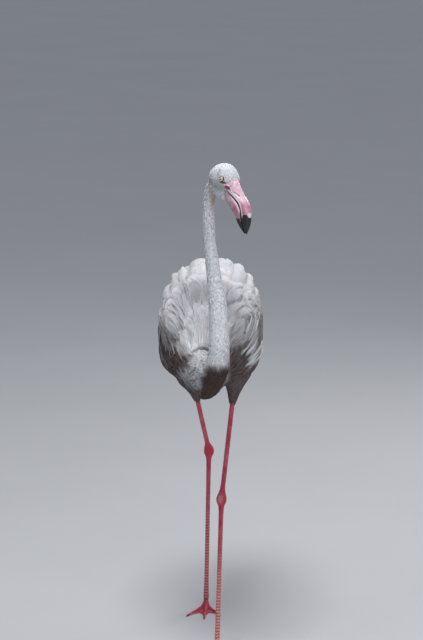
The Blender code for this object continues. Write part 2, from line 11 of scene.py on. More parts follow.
import bpy
import numpy as np
from mathutils import Matrix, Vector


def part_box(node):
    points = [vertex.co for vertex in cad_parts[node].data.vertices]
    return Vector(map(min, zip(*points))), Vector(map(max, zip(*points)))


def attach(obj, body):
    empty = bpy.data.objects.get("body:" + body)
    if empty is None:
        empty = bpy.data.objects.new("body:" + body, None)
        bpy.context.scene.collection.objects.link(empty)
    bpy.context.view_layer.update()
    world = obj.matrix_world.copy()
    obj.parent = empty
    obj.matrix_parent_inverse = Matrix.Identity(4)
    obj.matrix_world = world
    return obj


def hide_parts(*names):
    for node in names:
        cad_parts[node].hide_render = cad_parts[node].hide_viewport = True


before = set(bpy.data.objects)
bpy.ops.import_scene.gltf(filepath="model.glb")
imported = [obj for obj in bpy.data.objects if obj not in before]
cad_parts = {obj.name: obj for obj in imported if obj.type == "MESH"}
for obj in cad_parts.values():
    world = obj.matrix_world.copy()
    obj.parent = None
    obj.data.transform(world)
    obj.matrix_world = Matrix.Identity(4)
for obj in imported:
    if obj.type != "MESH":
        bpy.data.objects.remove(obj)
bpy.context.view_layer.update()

# %% [markdown]
# ## The sizes of the bird
# The tables below are the sizes that shaped the solids: the axis of trunk and neck with the half
# sizes of its sections, the folded wings, the head and its bill, and the joints of the legs. We
# could read points back from the solids instead, but a table gives a smooth surface at any
# fineness. The solids were moved a little so that they stand over the origin, and the eyes'
# boxes tell by how much.

# %% Body sizes
# x, y, z, half width, half height above the axis, half height below it, from rump to nape
BODY_AXIS = (
    (0.0290, 0.300, 0.668, 0.0060, 0.0060, 0.0060),
    (0.0220, 0.232, 0.674, 0.0140, 0.0140, 0.0120), (0.0190, 0.200, 0.681, 0.0440, 0.0480, 0.0380),
    (0.0115, 0.130, 0.699, 0.0840, 0.1080, 0.0780), (0.0020, 0.050, 0.706, 0.1060, 0.1490, 0.1110),
    (-0.0050, -0.040, 0.702, 0.1125, 0.1520, 0.1020), (-0.0115, -0.112, 0.688, 0.0940, 0.1180, 0.0700),
    (-0.0150, -0.165, 0.674, 0.0670, 0.0820, 0.0630), (-0.0160, -0.208, 0.660, 0.0440, 0.0560, 0.0540),
    (-0.0060, -0.250, 0.669, 0.0350, 0.0400, 0.0435), (0.0105, -0.278, 0.691, 0.0270, 0.0290, 0.0315),
    (0.0156, -0.286, 0.722, 0.0228, 0.0238, 0.0242), (0.0164, -0.285, 0.753, 0.0206, 0.0212, 0.0214),
    (0.0160, -0.277, 0.785, 0.0197, 0.0202, 0.0202), (0.0115, -0.263, 0.843, 0.0176, 0.0184, 0.0184),
    (0.0038, -0.250, 0.902, 0.0145, 0.0152, 0.0152), (-0.0042, -0.243, 0.968, 0.0124, 0.0130, 0.0130),
    (-0.0065, -0.242, 1.027, 0.0118, 0.0124, 0.0124), (-0.0045, -0.244, 1.066, 0.0122, 0.0130, 0.0130),
    (0.0030, -0.252, 1.090, 0.0130, 0.0138, 0.0138), (0.0140, -0.263, 1.108, 0.0115, 0.0120, 0.0120),
)
PEAR = 0.09  # how much narrower the trunk is at its top, and wider at its bottom
ROUND_ABOVE, ROUND_BELOW = 2.15, 2.7  # powers of the section's oval above and below the axis
TRUNK_END = 7.35  # where the trunk's sections have become the neck's, as a place in the table
NECK_TOP = len(BODY_AXIS) - 1

# y, half width, half height and middle height of the wing's oval, its lower and upper angle
WING_STATIONS = (
    (-0.142, 0.078, 0.070, 0.750, -2.0, 14.0), (-0.134, 0.090, 0.092, 0.746, -14.0, 32.0),
    (-0.112, 0.103, 0.117, 0.738, -21.0, 54.0), (-0.070, 0.1115, 0.137, 0.730, -22.0, 73.0),
    (-0.010, 0.1165, 0.149, 0.7235, -21.0, 84.0), (0.050, 0.1120, 0.148, 0.7215, -17.0, 87.0),
    (0.110, 0.1000, 0.131, 0.718, -11.0, 87.5), (0.165, 0.0810, 0.106, 0.711, -4.0, 87.0),
    (0.215, 0.0590, 0.079, 0.699, 3.0, 86.0), (0.262, 0.0370, 0.048, 0.685, 12.0, 82.0),
    (0.294, 0.0200, 0.024, 0.678, 22.0, 70.0),
)
BODY_TURN = 0.10  # how far the wings' middle moves sideways for each metre back
WING_SHIFT = -0.0006
WING_SQUARENESS = 2.3
LOBES, LOBE_SLANT, LOBE_HEIGHT = 5, 22, 0.0035  # bundles of feathers that swell the wing's outline

HEAD_CENTRE = np.array((0.0225, -0.270, 1.1134))
HEAD_YAW = math.radians(45.0)
EYE_PLACE = np.array((0.0182, 0.0188, -0.0035))
EYE_RADIUS = 0.0068
EYE_AIM = np.array((0.313, 0.949, 0.028))  # where the eye's window faces: outward, a little forward
# forward, middle height, half width, half height above, half height below
HEAD_STATIONS = (
    (-0.0300, -0.0030, 0.0030, 0.0040, 0.0040), (-0.0275, -0.0020, 0.0105, 0.0105, 0.0105),
    (-0.0190, -0.0010, 0.0175, 0.0175, 0.0185), (-0.0050, -0.0010, 0.0225, 0.0258, 0.0230),
    (0.0110, -0.0020, 0.0235, 0.0288, 0.0245), (0.0240, -0.0060, 0.0222, 0.0288, 0.0250),
    (0.0350, -0.0120, 0.0180, 0.0240, 0.0225), (0.0425, -0.0175, 0.0125, 0.0160, 0.0160),
    (0.0460, -0.0210, 0.0050, 0.0060, 0.0060),
)
HEAD_SQUARENESS = 2.25
THROAT_STATIONS = (
    (-0.0300, -0.0310, 0.0070, 0.0100), (-0.0180, -0.0305, 0.0115, 0.0135),
    (-0.0040, -0.0320, 0.0135, 0.0165),
    (0.0090, -0.0350, 0.0130, 0.0175), (0.0180, -0.0375, 0.0108, 0.0155),
)
RIDGE = ((0.0330, -0.0030), (0.0440, -0.0070), (0.0522, -0.0200), (0.0630, -0.0370), (0.0750, -0.0500),
         (0.0824, -0.0640), (0.0844, -0.0820), (0.0815, -0.1010), (0.0745, -0.1180))
GAPE = ((0.0210, -0.0235), (0.0295, -0.0290), (0.0400, -0.0355), (0.0510, -0.0430), (0.0610, -0.0515),
        (0.0675, -0.0640), (0.0690, -0.0810), (0.0700, -0.0980), (0.0722, -0.1155))
KEEL = ((0.0100, -0.0330), (0.0155, -0.0465), (0.0230, -0.0575), (0.0310, -0.0665), (0.0385, -0.0755),
        (0.0450, -0.0855), (0.0510, -0.0975), (0.0590, -0.1080), (0.0695, -0.1170))
UPPER_BILL_HALF_WIDTHS = (0.0125, 0.0132, 0.0128, 0.0122, 0.0124, 0.0122, 0.0108, 0.0082, 0.0032)
LOWER_BILL_HALF_WIDTHS = (0.0090, 0.0104, 0.0114, 0.0118, 0.0114, 0.0104, 0.0086, 0.0062, 0.0024)

# %% Leg sizes
KNEE = {"left": (0.058, -0.075, 0.660), "right": (-0.053, 0.010, 0.640)}
ANKLE = {"left": (0.0230, -0.050, 0.329), "right": (-0.0060, 0.150, 0.3905)}
FOOT_JOINT = {"left": (0.0115, -0.2530, 0.0170), "right": (-0.0130, 0.1420, 0.0185)}
THIGH_END = {"left": 0.300, "right": 0.430}
THIGH_SIZES = ((0.038, 0.062), (0.034, 0.054), (0.023, 0.035), (0.0135, 0.0185), (0.0078, 0.0092))
SHANK_RADIUS = 0.0053
ANKLE_HALF_LENGTH = 0.026
ANKLE_SIZES = ((-1.0, 0.0056, 0.0064), (-0.55, 0.0082, 0.0105), (-0.1, 0.0116, 0.0148),
               (0.25, 0.0112, 0.0140), (0.62, 0.0072, 0.0090), (1.0, 0.0057, 0.0066))
TARSUS_RADII = ((0.0, 0.0057, 0.0066), (0.12, 0.0052, 0.0060), (0.5, 0.0050, 0.0058), (0.85, 0.0053, 0.0060),
                (0.96, 0.0066, 0.0066), (1.0, 0.0060, 0.0055))
TOES = (("inner", -33.0, 0.80), ("middle", -2.0, 1.00), ("outer", 29.0, 0.93))
MIDDLE_TOE = 0.082
TOE_RADIUS = 0.0048
HIND_TOE_LENGTH = 0.014
WEB_THICKNESS = 0.0016
FOOT_TURN = {"left": math.radians(4.0), "right": math.radians(-5.0)}

# %% Where the whole bird was moved to
HEAD_TURN = np.array((
    (math.sin(HEAD_YAW), math.cos(HEAD_YAW), 0.0),
    (-math.cos(HEAD_YAW), math.sin(HEAD_YAW), 0.0),
    (0.0, 0.0, 1.0),
))  # columns are forward, left and up of the head


def box_middle(node):
    """Middle of a solid's box: half of its lowest and highest corner together."""
    low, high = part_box(node)
    return (np.array(low) + np.array(high)) / 2


between_eyes = HEAD_CENTRE + HEAD_TURN @ (EYE_PLACE * (1, 0, 1))
MOVED = (box_middle("eye_left") + box_middle("eye_right")) / 2 - between_eyes
print("moved by", MOVED.round(5))

# %% [markdown]
# ## Curves and surfaces
# A bird has hardly a straight line, so every size is read from its table through a smooth
# Catmull-Rom curve. A surface takes two arrays of numbers and gives an array of points.
# Its normals come from small steps both ways, crossed. That costs three readings for each
# point, but it works for every surface without a formula of its own.


# %% Curves and surfaces
def along(stations, places):
    """Reads a table at places counted in rows, on the cubic through each row and its neighbours."""
    rows = np.array(stations, float)
    rows = np.vstack((2 * rows[0] - rows[1], rows, 2 * rows[-1] - rows[-2]))
    places = np.clip(np.asarray(places, float), 0, len(rows) - 3)
    first = np.minimum(places.astype(int), len(rows) - 4)
    t = (places - first)[..., None]
    a, b, c, d = (rows[first + i] for i in range(4))
    return 0.5 * (2 * b + (c - a) * t + (2 * a - 5 * b + 4 * c - d) * t**2 + (3 * b - a - 3 * c + d) * t**3)


def unit(vectors):
    """Each vector divided by its own length."""
    return vectors / np.maximum(np.linalg.norm(vectors, axis=-1, keepdims=True), 1e-12)


def smooth_step(low, high, value):
    """0 below low and 1 above high, with the smooth curve 3t^2 - 2t^3 between them."""
    t = np.clip((value - low) / (high - low), 0, 1)
    return t * t * (3 - 2 * t)


TURN = 2 * math.pi


def round_angles(count):
    """Evenly spaced angles once round, without the last, which would close the ring."""
    return np.arange(count) * TURN / count


def superellipse(angle, power):
    """Across and height of a unit oval: cosine and sine, each raised to 2/power with its sign kept."""
    c, s = np.cos(angle), np.sin(angle)
    return np.sign(c) * np.abs(c) ** (2 / power), np.sign(s) * np.abs(s) ** (2 / power)


def path_frames(points, side_hint):
    """Tangent, side and up along a path: side is the hint made square to the tangent, up crosses both."""
    tangent = unit(np.gradient(points, axis=0))
    side = unit(side_hint - (tangent @ side_hint)[:, None] * tangent)
    return tangent, side, np.cross(tangent, side)


def mottle(points, size, seed=0.0):
    """Smooth patches from -1 to 1: sines along three slanting directions, each bent by the next."""
    p = points / size + seed
    x, y, z = p[..., 0], p[..., 1], p[..., 2]
    a = np.sin(1.7 * x + 1.1 * y + 2.3 * np.sin(0.9 * z + 0.7 * y))
    b = np.sin(1.3 * y - 1.9 * z + 1.9 * np.sin(1.1 * x - 0.5 * z))
    return (a + b + np.sin(1.5 * z + 1.2 * x + 1.3 * a)) / 3


def partials(surface, u, v, step=0.004):
    """How a surface's point moves for one unit of u and of v: the difference of two near readings."""
    by_u = (surface(u + step, v) - surface(u - step, v)) / (2 * step)
    by_v = (surface(u, v + step) - surface(u, v - step)) / (2 * step)
    return by_u, by_v


def outward(surface, u, v, facing):
    """Unit normals: the two partials crossed, with facing 1 or -1 to point them out of the body."""
    by_u, by_v = partials(surface, u, v)
    return unit(np.cross(by_u, by_v)) * facing


# %% [markdown]
# ## Trunk, neck and folded wings as one surface
# On the real bird the folded wings lie so close that breast, shoulder and back feathers run on
# over them. Two overlapping shells would cut the feathers off at the join. So for each place
# along the trunk we measure how far out the wing's shell stands, compare it with the trunk's own
# section, and keep how many times larger the wing is. That table of swellings is smoothed a little
# and read back between its points, which gives one surface from rump to nape.


# %% The body's surface
path_places = np.linspace(0, NECK_TOP, 500)
path_rows = along(BODY_AXIS, path_places)
_, PATH_SIDE, PATH_UP = path_frames(path_rows[:, :3], np.array((1.0, 0.0, 0.0)))


def body_section(place, angle):
    """Axis point and the vector from it to the trunk's or neck's own outline, at a place and an angle."""
    rows = along(BODY_AXIS, place)
    upper, lower = superellipse(angle, ROUND_ABOVE), superellipse(angle, ROUND_BELOW)
    across = np.where(lower[1] < 0, lower[0], upper[0])
    height = np.where(lower[1] < 0, lower[1], upper[1])
    across = across * (1 - PEAR * height)
    trunk = np.clip((TRUNK_END + 1 - place) / 2, 0, 1)
    across = across * trunk + np.cos(angle) * (1 - trunk)
    height = height * trunk + np.sin(angle) * (1 - trunk)
    tall = np.where(height > 0, rows[..., 4], rows[..., 5])
    side = np.stack([np.interp(place, path_places, PATH_SIDE[:, i]) for i in range(3)], -1)
    up = np.stack([np.interp(place, path_places, PATH_UP[:, i]) for i in range(3)], -1)
    reach = side * (across * rows[..., 3])[..., None] + up * (height * tall)[..., None]
    return rows[..., :3], reach


def wing_outline(y):
    """Both wing shells' outline across the body at one y, from one lower edge over the top to the other."""
    place = np.interp(y, [row[0] for row in WING_STATIONS], range(len(WING_STATIONS)))
    _, wide, tall, middle, low, high = along(WING_STATIONS, place)
    share = np.linspace(0, 1, 60)
    angle = np.radians(low + (high - low) * share)
    c, s = np.cos(angle), np.sin(angle)
    reach = (np.abs(c) ** WING_SQUARENESS + np.abs(s) ** WING_SQUARENESS) ** (-1 / WING_SQUARENESS)
    lobes = np.abs(np.sin(share * math.pi * LOBES + y * LOBE_SLANT)) - 0.6
    reach = reach * (1 + LOBE_HEIGHT / wide * lobes * np.sin(share * math.pi) ** 0.5)
    x, z = c * reach * wide, middle + s * reach * tall
    centre = WING_SHIFT + BODY_TURN * y
    return np.concatenate((centre + x, centre - x[::-1])), np.concatenate((z, z[::-1])), high


SWELL_PLACES, SWELL_ANGLES = 150, 180
WING_FRONT, WING_BACK = WING_STATIONS[0][0], WING_STATIONS[-1][0]


def measure_swelling():
    """For each place and angle, the wing shell's distance from the axis over the trunk's own, at least 1."""
    table = np.ones((SWELL_PLACES, SWELL_ANGLES))
    angles = round_angles(SWELL_ANGLES)
    for row, place in enumerate(np.linspace(0, TRUNK_END, SWELL_PLACES)):
        axis, reach = body_section(np.full(SWELL_ANGLES, place), angles)
        y = axis[0, 1]
        if not WING_FRONT <= y <= WING_BACK:
            continue
        x, z, high = wing_outline(y)
        turn = np.arctan2(z - axis[0, 2], x - axis[0, 0])
        far = np.hypot(z - axis[0, 2], x - axis[0, 0])
        if high < 60:
            far[len(far) // 2 - 1 : len(far) // 2 + 1] = 0
        own = np.arctan2(reach[:, 2], reach[:, 0])
        own = np.where(own < -math.pi / 2, own + TURN, own)
        turn = np.where(turn < -math.pi / 2, turn + TURN, turn)
        order = np.argsort(turn)
        wing = np.interp(own, turn[order], far[order], left=0, right=0)
        table[row] = np.maximum(1, wing / np.hypot(reach[:, 2], reach[:, 0]))
    return table


def blur(table, times):
    """Averages each cell with its neighbours, 1-2-1 both ways, as many times as asked."""
    for _ in range(times):
        table = (np.roll(table, 1, 1) + 2 * table + np.roll(table, -1, 1)) / 4
        padded = np.vstack((table[:1], table, table[-1:]))
        table = (padded[:-2] + 2 * padded[1:-1] + padded[2:]) / 4
    return table


SWELLING = blur(measure_swelling(), 5)
print("wings stand out up to", SWELLING.max().round(2), "times the trunk")


def read_table(table, end, place, angle):
    """A table over places 0 to end and all angles, read between its cells in straight lines."""
    rows, columns = table.shape
    row = np.clip(place / end * (rows - 1), 0, rows - 1.001)
    column = (angle / TURN * columns) % columns
    i, j = row.astype(int), column.astype(int) % columns
    p, q = row - i, column - column.astype(int)
    k = (j + 1) % columns
    low = table[i, j] * (1 - q) + table[i, k] * q
    high = table[i + 1, j] * (1 - q) + table[i + 1, k] * q
    return low * (1 - p) + high * p


def swollen_body(place, angle):
    """Axis point plus the section's vector, made longer by the wings' swelling; 1 on the neck."""
    axis, reach = body_section(place, angle)
    swelling = np.where(place > TRUNK_END, 1.0, read_table(SWELLING, TRUNK_END, place, angle))
    far = reach * swelling[..., None]
    return axis + far, unit(far)


# %% [markdown]
# Two kinds of relief lie on top of that smooth body. Lumps stand out where each wing bends. Folds
# are narrow valleys between bunches of feathers, drawn as lines over the body by place and
# angle, and along them the feathers' colour is darkened as painted shade. Both are worked out once on a fine
# grid of places and angles, and read back from it.

# %% Lumps and folds
# Lumps: place, half sizes and height in metres. A negative height is a hollow.
LUMPS = (
    ((0.0621, -0.142, 0.7551), (0.0135, 0.03, 0.0190), 0.0090),
    ((-0.0917, -0.139, 0.7700), (0.011, 0.03, 0.021), 0.0065),
    ((-0.0240, -0.224, 0.7100), (0.026, 0.018, 0.014), 0.0090),
    ((0.0850, -0.125, 0.7300), (0.008, 0.03, 0.030), -0.0045),
    ((-0.0760, -0.140, 0.7500), (0.007, 0.03, 0.030), -0.0040),
    ((0.0450, -0.150, 0.7700), (0.008, 0.03, 0.040), -0.0040),
    ((-0.0300, 0.040, 0.8720), (0.018, 0.10, 0.014), 0.0040),
    ((-0.0535, 0.0, 0.8620), (0.007, 0.10, 0.012), -0.0060),
    ((-0.0640, 0.0, 0.8550), (0.007, 0.10, 0.010), 0.0035),
    ((-0.0735, 0.0, 0.8500), (0.005, 0.10, 0.009), -0.0045),
    ((-0.0840, 0.0, 0.8400), (0.008, 0.10, 0.009), 0.0035),
    ((-0.0930, 0.0, 0.8250), (0.007, 0.10, 0.006), -0.0055),
    ((-0.1020, 0.0, 0.8120), (0.010, 0.10, 0.011), 0.0030),
    ((-0.1090, 0.0, 0.7850), (0.010, 0.10, 0.006), -0.0040),
    ((0.0320, 0.050, 0.8720), (0.018, 0.10, 0.014), 0.0045),
    ((0.0505, 0.05, 0.8560), (0.006, 0.12, 0.014), -0.0070),
    ((0.0630, 0.050, 0.8480), (0.010, 0.12, 0.012), 0.0055),
    ((0.0790, 0.02, 0.8420), (0.006, 0.12, 0.010), -0.0055),
    ((0.0870, 0.040, 0.8250), (0.009, 0.12, 0.010), 0.0040),
    ((0.0970, 0.03, 0.8120), (0.006, 0.12, 0.007), -0.0045),
)
# Folds: strength, half width in millimetres, then place and angle in degrees along the line. The strength
# sets both the valley's depth and the painted shade in it.
FOLD_LINES = (
    (0.7, 2.6, ((5.65, 114), (5.85, 114))),
    (0.75, 2.2, ((6.15, 134), (6.15, 129), (6.2, 128), (6.45, 132), (6.55, 132))),
    (0.6, 2, ((6.05, 127), (6.15, 123))), (0.85, 2.4, ((5.95, 133), (6, 127))),
    (0.5, 2, ((5.45, 119), (5.6, 116), (5.6, 112), (5.35, 112))), (0.5, 2.4, ((6.35, 147), (6.3, 133))),
    (0.4, 2, ((6, 122), (6.1, 120))), (0.8, 2.2, ((6.6, 126), (7.1, 115))),
    (0.35, 2.4, ((6.25, 118), (6.45, 110))), (0.5, 2.4, ((4.8, 128), (5.35, 122))),
    (0.5, 2.2, ((6.3, 149), (6.4, 162))), (0.95, 2.6, ((6, 63), (6.05, 56), (6.05, 53), (5.9, 52))),
    (0.55, 2.4, ((5.75, 54), (5.15, 45))), (0.55, 2.6, ((5.8, 60), (5.45, 54))),
    (0.7, 3, ((4.9, 36), (4.35, 23), (4.25, 17))), (0.9, 2.6, ((5.65, 44), (5.45, 40), (5.4, 34), (4.9, 22))),
    (0.85, 2.4, ((6.15, 49), (5.75, 30))), (0.85, 2.4, ((6.3, 49), (6.35, 46), (6.3, 39))),
    (0.6, 2.2, ((6.25, 51), (6.15, 48))), (0.8, 2.6, ((6.3, 40), (6.4, 29), (6.45, 28), (6.55, 30))),
    (0.7, 2, ((6.05, 36), (6.15, 28))), (0.8, 2.4, ((5.3, 26), (5.6, 24), (5.75, 20), (5.85, 15))),
    (0.9, 2.6, ((5.4, 8), (5.15, 2), (4.8, -2))), (0.6, 2, ((5.95, 12), (6.15, 3))),
    (0.6, 2, ((5.5, 5), (5.95, -1))), (0.6, 3, ((5.2, -15), (5.45, -17), (5.65, -24))),
    (0.6, 2.4, ((6.15, 24), (6, 34))), (0.6, 2.4, ((5.9, 17), (5.8, 24), (5.65, 29))),
    (0.6, 5, ((5.05, 1), (5.25, 24))), (0.5, 3, ((6.4, 24), (6.4, 34), (6.3, 40))),
)
RELIEF_END = 10.5
RELIEF_PLACES, RELIEF_ANGLES = 420, 540
FOLD_DEPTH = 0.0032


def nearest_distance(points, corners):
    """Distance from each point to the nearest of the straight pieces between the corners."""
    best = np.full(points.shape[:-1], 1e9)
    for a, b in zip(corners[:-1], corners[1:]):
        step = b - a
        share = np.clip(((points - a) @ step) / (step @ step), 0, 1)
        best = np.minimum(best, np.linalg.norm(points - a - share[..., None] * step, axis=-1))
    return best


def relief_tables():
    """Heights and painted fold shade on a grid of places and angles: bell curves of distance from lumps and
    lines.
    """
    u, v = np.meshgrid(np.linspace(0, RELIEF_END, RELIEF_PLACES), round_angles(RELIEF_ANGLES), indexing="ij")
    ground, _ = swollen_body(u, v)
    ends = smooth_step(RELIEF_END - 0.1, RELIEF_END - 0.9, u)
    height = np.zeros(u.shape)
    for centre, sizes, tall in LUMPS:
        height += tall * np.exp(-((((ground - np.array(centre)) / np.array(sizes)) ** 2).sum(-1)))
    shade = np.zeros(u.shape)
    for strength, wide, line in FOLD_LINES:
        corners = along([(a, math.radians(b)) for a, b in line], np.linspace(0, len(line) - 1, 5 * len(line)))
        corners, _ = swollen_body(corners[:, 0], corners[:, 1])
        gap = nearest_distance(ground, corners)
        shade = np.maximum(shade, strength * np.exp(-((gap / (wide / 1000)) ** 2)))
    return (height - FOLD_DEPTH * shade) * ends, shade * ends


RELIEF, FOLD_SHADE = relief_tables()
print("relief from", (RELIEF.min() * 1000).round(1), "to", (RELIEF.max() * 1000).round(1), "mm")


def body_surface(place, angle):
    """The swollen body, raised along the section's vector by the relief."""
    point, out = swollen_body(place, angle)
    raised = np.where(place > RELIEF_END, 0.0, read_table(RELIEF, RELIEF_END, place, angle))
    return point + out * raised[..., None] + MOVED


def fold_shade(place, angle):
    """How deep in a fold a place on the body lies, 0 to 1: how strongly the feathers there are darkened as
    painted shade.
    """
    return np.where(place > RELIEF_END, 0.0, read_table(FOLD_SHADE, RELIEF_END, place, angle))


BODY_FACING = 1 if (outward(body_surface, np.array([5.0]), np.array([0.0]), 1)[0, 0] > 0) else -1
print("body is", round(float(np.ptp(body_surface(path_places, np.full(500, 1.57))[:, 2])), 3), "m tall")


# %% Head, throat and thigh surfaces
def from_head(points):
    """From the head's own frame (forward, left, up) to the model's: turned, then moved."""
    return points @ HEAD_TURN.T + HEAD_CENTRE + MOVED


def to_head(points):
    """The other way: moved back, then turned back."""
    return (points - HEAD_CENTRE - MOVED) @ HEAD_TURN


def head_surface(place, angle):
    """Upright ovals along the head's table, with their own half heights above and below."""
    rows = along(HEAD_STATIONS, place)
    across, height = superellipse(angle, HEAD_SQUARENESS)
    tall = np.where(height > 0, rows[..., 3], rows[..., 4])
    return from_head(np.stack((rows[..., 0], across * rows[..., 2], rows[..., 1] + height * tall), -1))


def throat_surface(place, angle):
    """Ovals along the throat's table, square to the head's forward direction."""
    rows = along(THROAT_STATIONS, place)
    across, height = np.cos(angle) * rows[..., 2], np.sin(angle) * rows[..., 3]
    return from_head(np.stack((rows[..., 0], across, rows[..., 1] + height), -1))


def thigh_surface(side):
    """A function for one thigh: ovals round the line from knee to where the feathers end."""
    knee, ankle = np.array(KNEE[side]), np.array(ANKLE[side])
    line = (ankle - knee) * THIGH_END[side]
    down = unit(line)
    wide = unit(np.array((1.0, 0.0, 0.0)) - down[0] * down)
    deep = np.cross(down, wide)
    last = len(THIGH_SIZES) - 1

    def surface(place, angle):
        sizes = along(THIGH_SIZES, place)
        centre = knee + MOVED + line * (np.asarray(place, float) / last)[..., None]
        across = wide * (np.cos(angle) * sizes[..., 0])[..., None]
        return centre + across + deep * (np.sin(angle) * sizes[..., 1])[..., None]

    return surface


# %% [markdown]
# ## From arrays to meshes
# Blender takes whole arrays at once through foreach_set, which is hundreds of times faster than
# adding points one by one. One helper makes a mesh from points and faces, one makes a closed
# tube from a grid of rings, and one melts overlapping tubes together into a single skin
# by remeshing them as small cubes of space, a voxel remesh.


# %% Mesh helpers
def make_object(name, points, face_groups, finish):
    """A mesh from an array of points and arrays of faces, each array with its own number of corners."""
    mesh = bpy.data.meshes.new(name)
    mesh.vertices.add(len(points))
    mesh.vertices.foreach_set("co", np.asarray(points, np.float32).ravel())
    corners = np.concatenate([group.ravel() for group in face_groups]).astype(np.int32)
    counts = np.concatenate([np.full(len(group), group.shape[1]) for group in face_groups])
    mesh.loops.add(len(corners))
    mesh.loops.foreach_set("vertex_index", corners)
    mesh.polygons.add(len(counts))
    mesh.polygons.foreach_set("loop_start", np.concatenate(([0], np.cumsum(counts)[:-1])).astype(np.int32))
    mesh.update(calc_edges=True)
    mesh.validate()
    made = bpy.data.objects.new(name, mesh)
    bpy.context.scene.collection.objects.link(made)
    if finish:
        mesh.materials.append(finish)
    mesh.shade_smooth()
    return made


def set_marks(made, **marks):
    """One number for each point of a mesh under each mark's name, for its material to read."""
    for name, values in marks.items():
        stored = made.data.attributes.new(name, "FLOAT", "POINT")
        stored.data.foreach_set("value", np.asarray(values, np.float32))


def set_uv(made, name, values):
    """A UV map from one pair of numbers for each point."""
    corners = np.zeros(len(made.data.loops), np.int32)
    made.data.loops.foreach_get("vertex_index", corners)
    made.data.uv_layers.new(name=name).data.foreach_set("uv", np.asarray(values, np.float32)[corners].ravel())


def mesh_points(made):
    """The points of a mesh as an array."""
    points = np.zeros(len(made.data.vertices) * 3, np.float32)
    made.data.vertices.foreach_get("co", points)
    return points.reshape(-1, 3).astype(float)


def mesh_normals(made):
    """The normals at a mesh's points as an array."""
    normals = np.zeros(len(made.data.vertices) * 3, np.float32)
    made.data.vertex_normals.foreach_get("vector", normals)
    return normals.reshape(-1, 3).astype(float)


def move_points(made, points):
    """Puts an array of points into a mesh."""
    made.data.vertices.foreach_set("co", points.astype(np.float32).ravel())
    made.data.update()


def tube_faces(levels, around):
    """Corners of a closed tube: four-sided faces between rings, and one many-sided face on each end."""
    i, j = np.meshgrid(np.arange(levels - 1), np.arange(around), indexing="ij")
    k = (j + 1) % around
    sides = np.stack((i * around + j, i * around + k, (i + 1) * around + k, (i + 1) * around + j), -1)
    ends = np.stack((np.arange(around)[::-1], np.arange(around) + (levels - 1) * around))
    return sides.reshape(-1, 4), ends


def tube(name, grid, finish=None):
    """A closed tube through a grid of rings, levels by points around."""
    levels, around = grid.shape[:2]
    return make_object(name, grid.reshape(-1, 3), tube_faces(levels, around), finish)


def recalculated(made):
    """Turns every face of a closed mesh outwards, in place."""
    bpy.context.view_layer.objects.active = made
    bpy.ops.object.mode_set(mode="EDIT")
    bpy.ops.mesh.select_all(action="SELECT")
    bpy.ops.mesh.normals_make_consistent(inside=False)
    bpy.ops.object.mode_set(mode="OBJECT")


def melted(name, tubes, voxel, finish, smoothing=4):
    """Overlapping closed tubes as one skin: joined, remeshed in cubes of size voxel, then relaxed."""
    for one in tubes:
        recalculated(one)
    bpy.ops.object.select_all(action="DESELECT")
    for one in tubes:
        one.select_set(True)
    bpy.context.view_layer.objects.active = tubes[0]
    if len(tubes) > 1:
        bpy.ops.object.join()
    whole = tubes[0]
    cubes = whole.modifiers.new("cubes", "REMESH")
    cubes.mode = "VOXEL"
    cubes.voxel_size = voxel
    relax = whole.modifiers.new("relax", "SMOOTH")
    relax.factor, relax.iterations = 0.5, smoothing
    graph = bpy.context.evaluated_depsgraph_get()
    mesh = bpy.data.meshes.new_from_object(whole.evaluated_get(graph))
    bpy.data.objects.remove(whole)
    mesh.name = name
    made = bpy.data.objects.new(name, mesh)
    bpy.context.scene.collection.objects.link(made)
    mesh.materials.clear()
    mesh.materials.append(finish)
    mesh.shade_smooth()
    return made
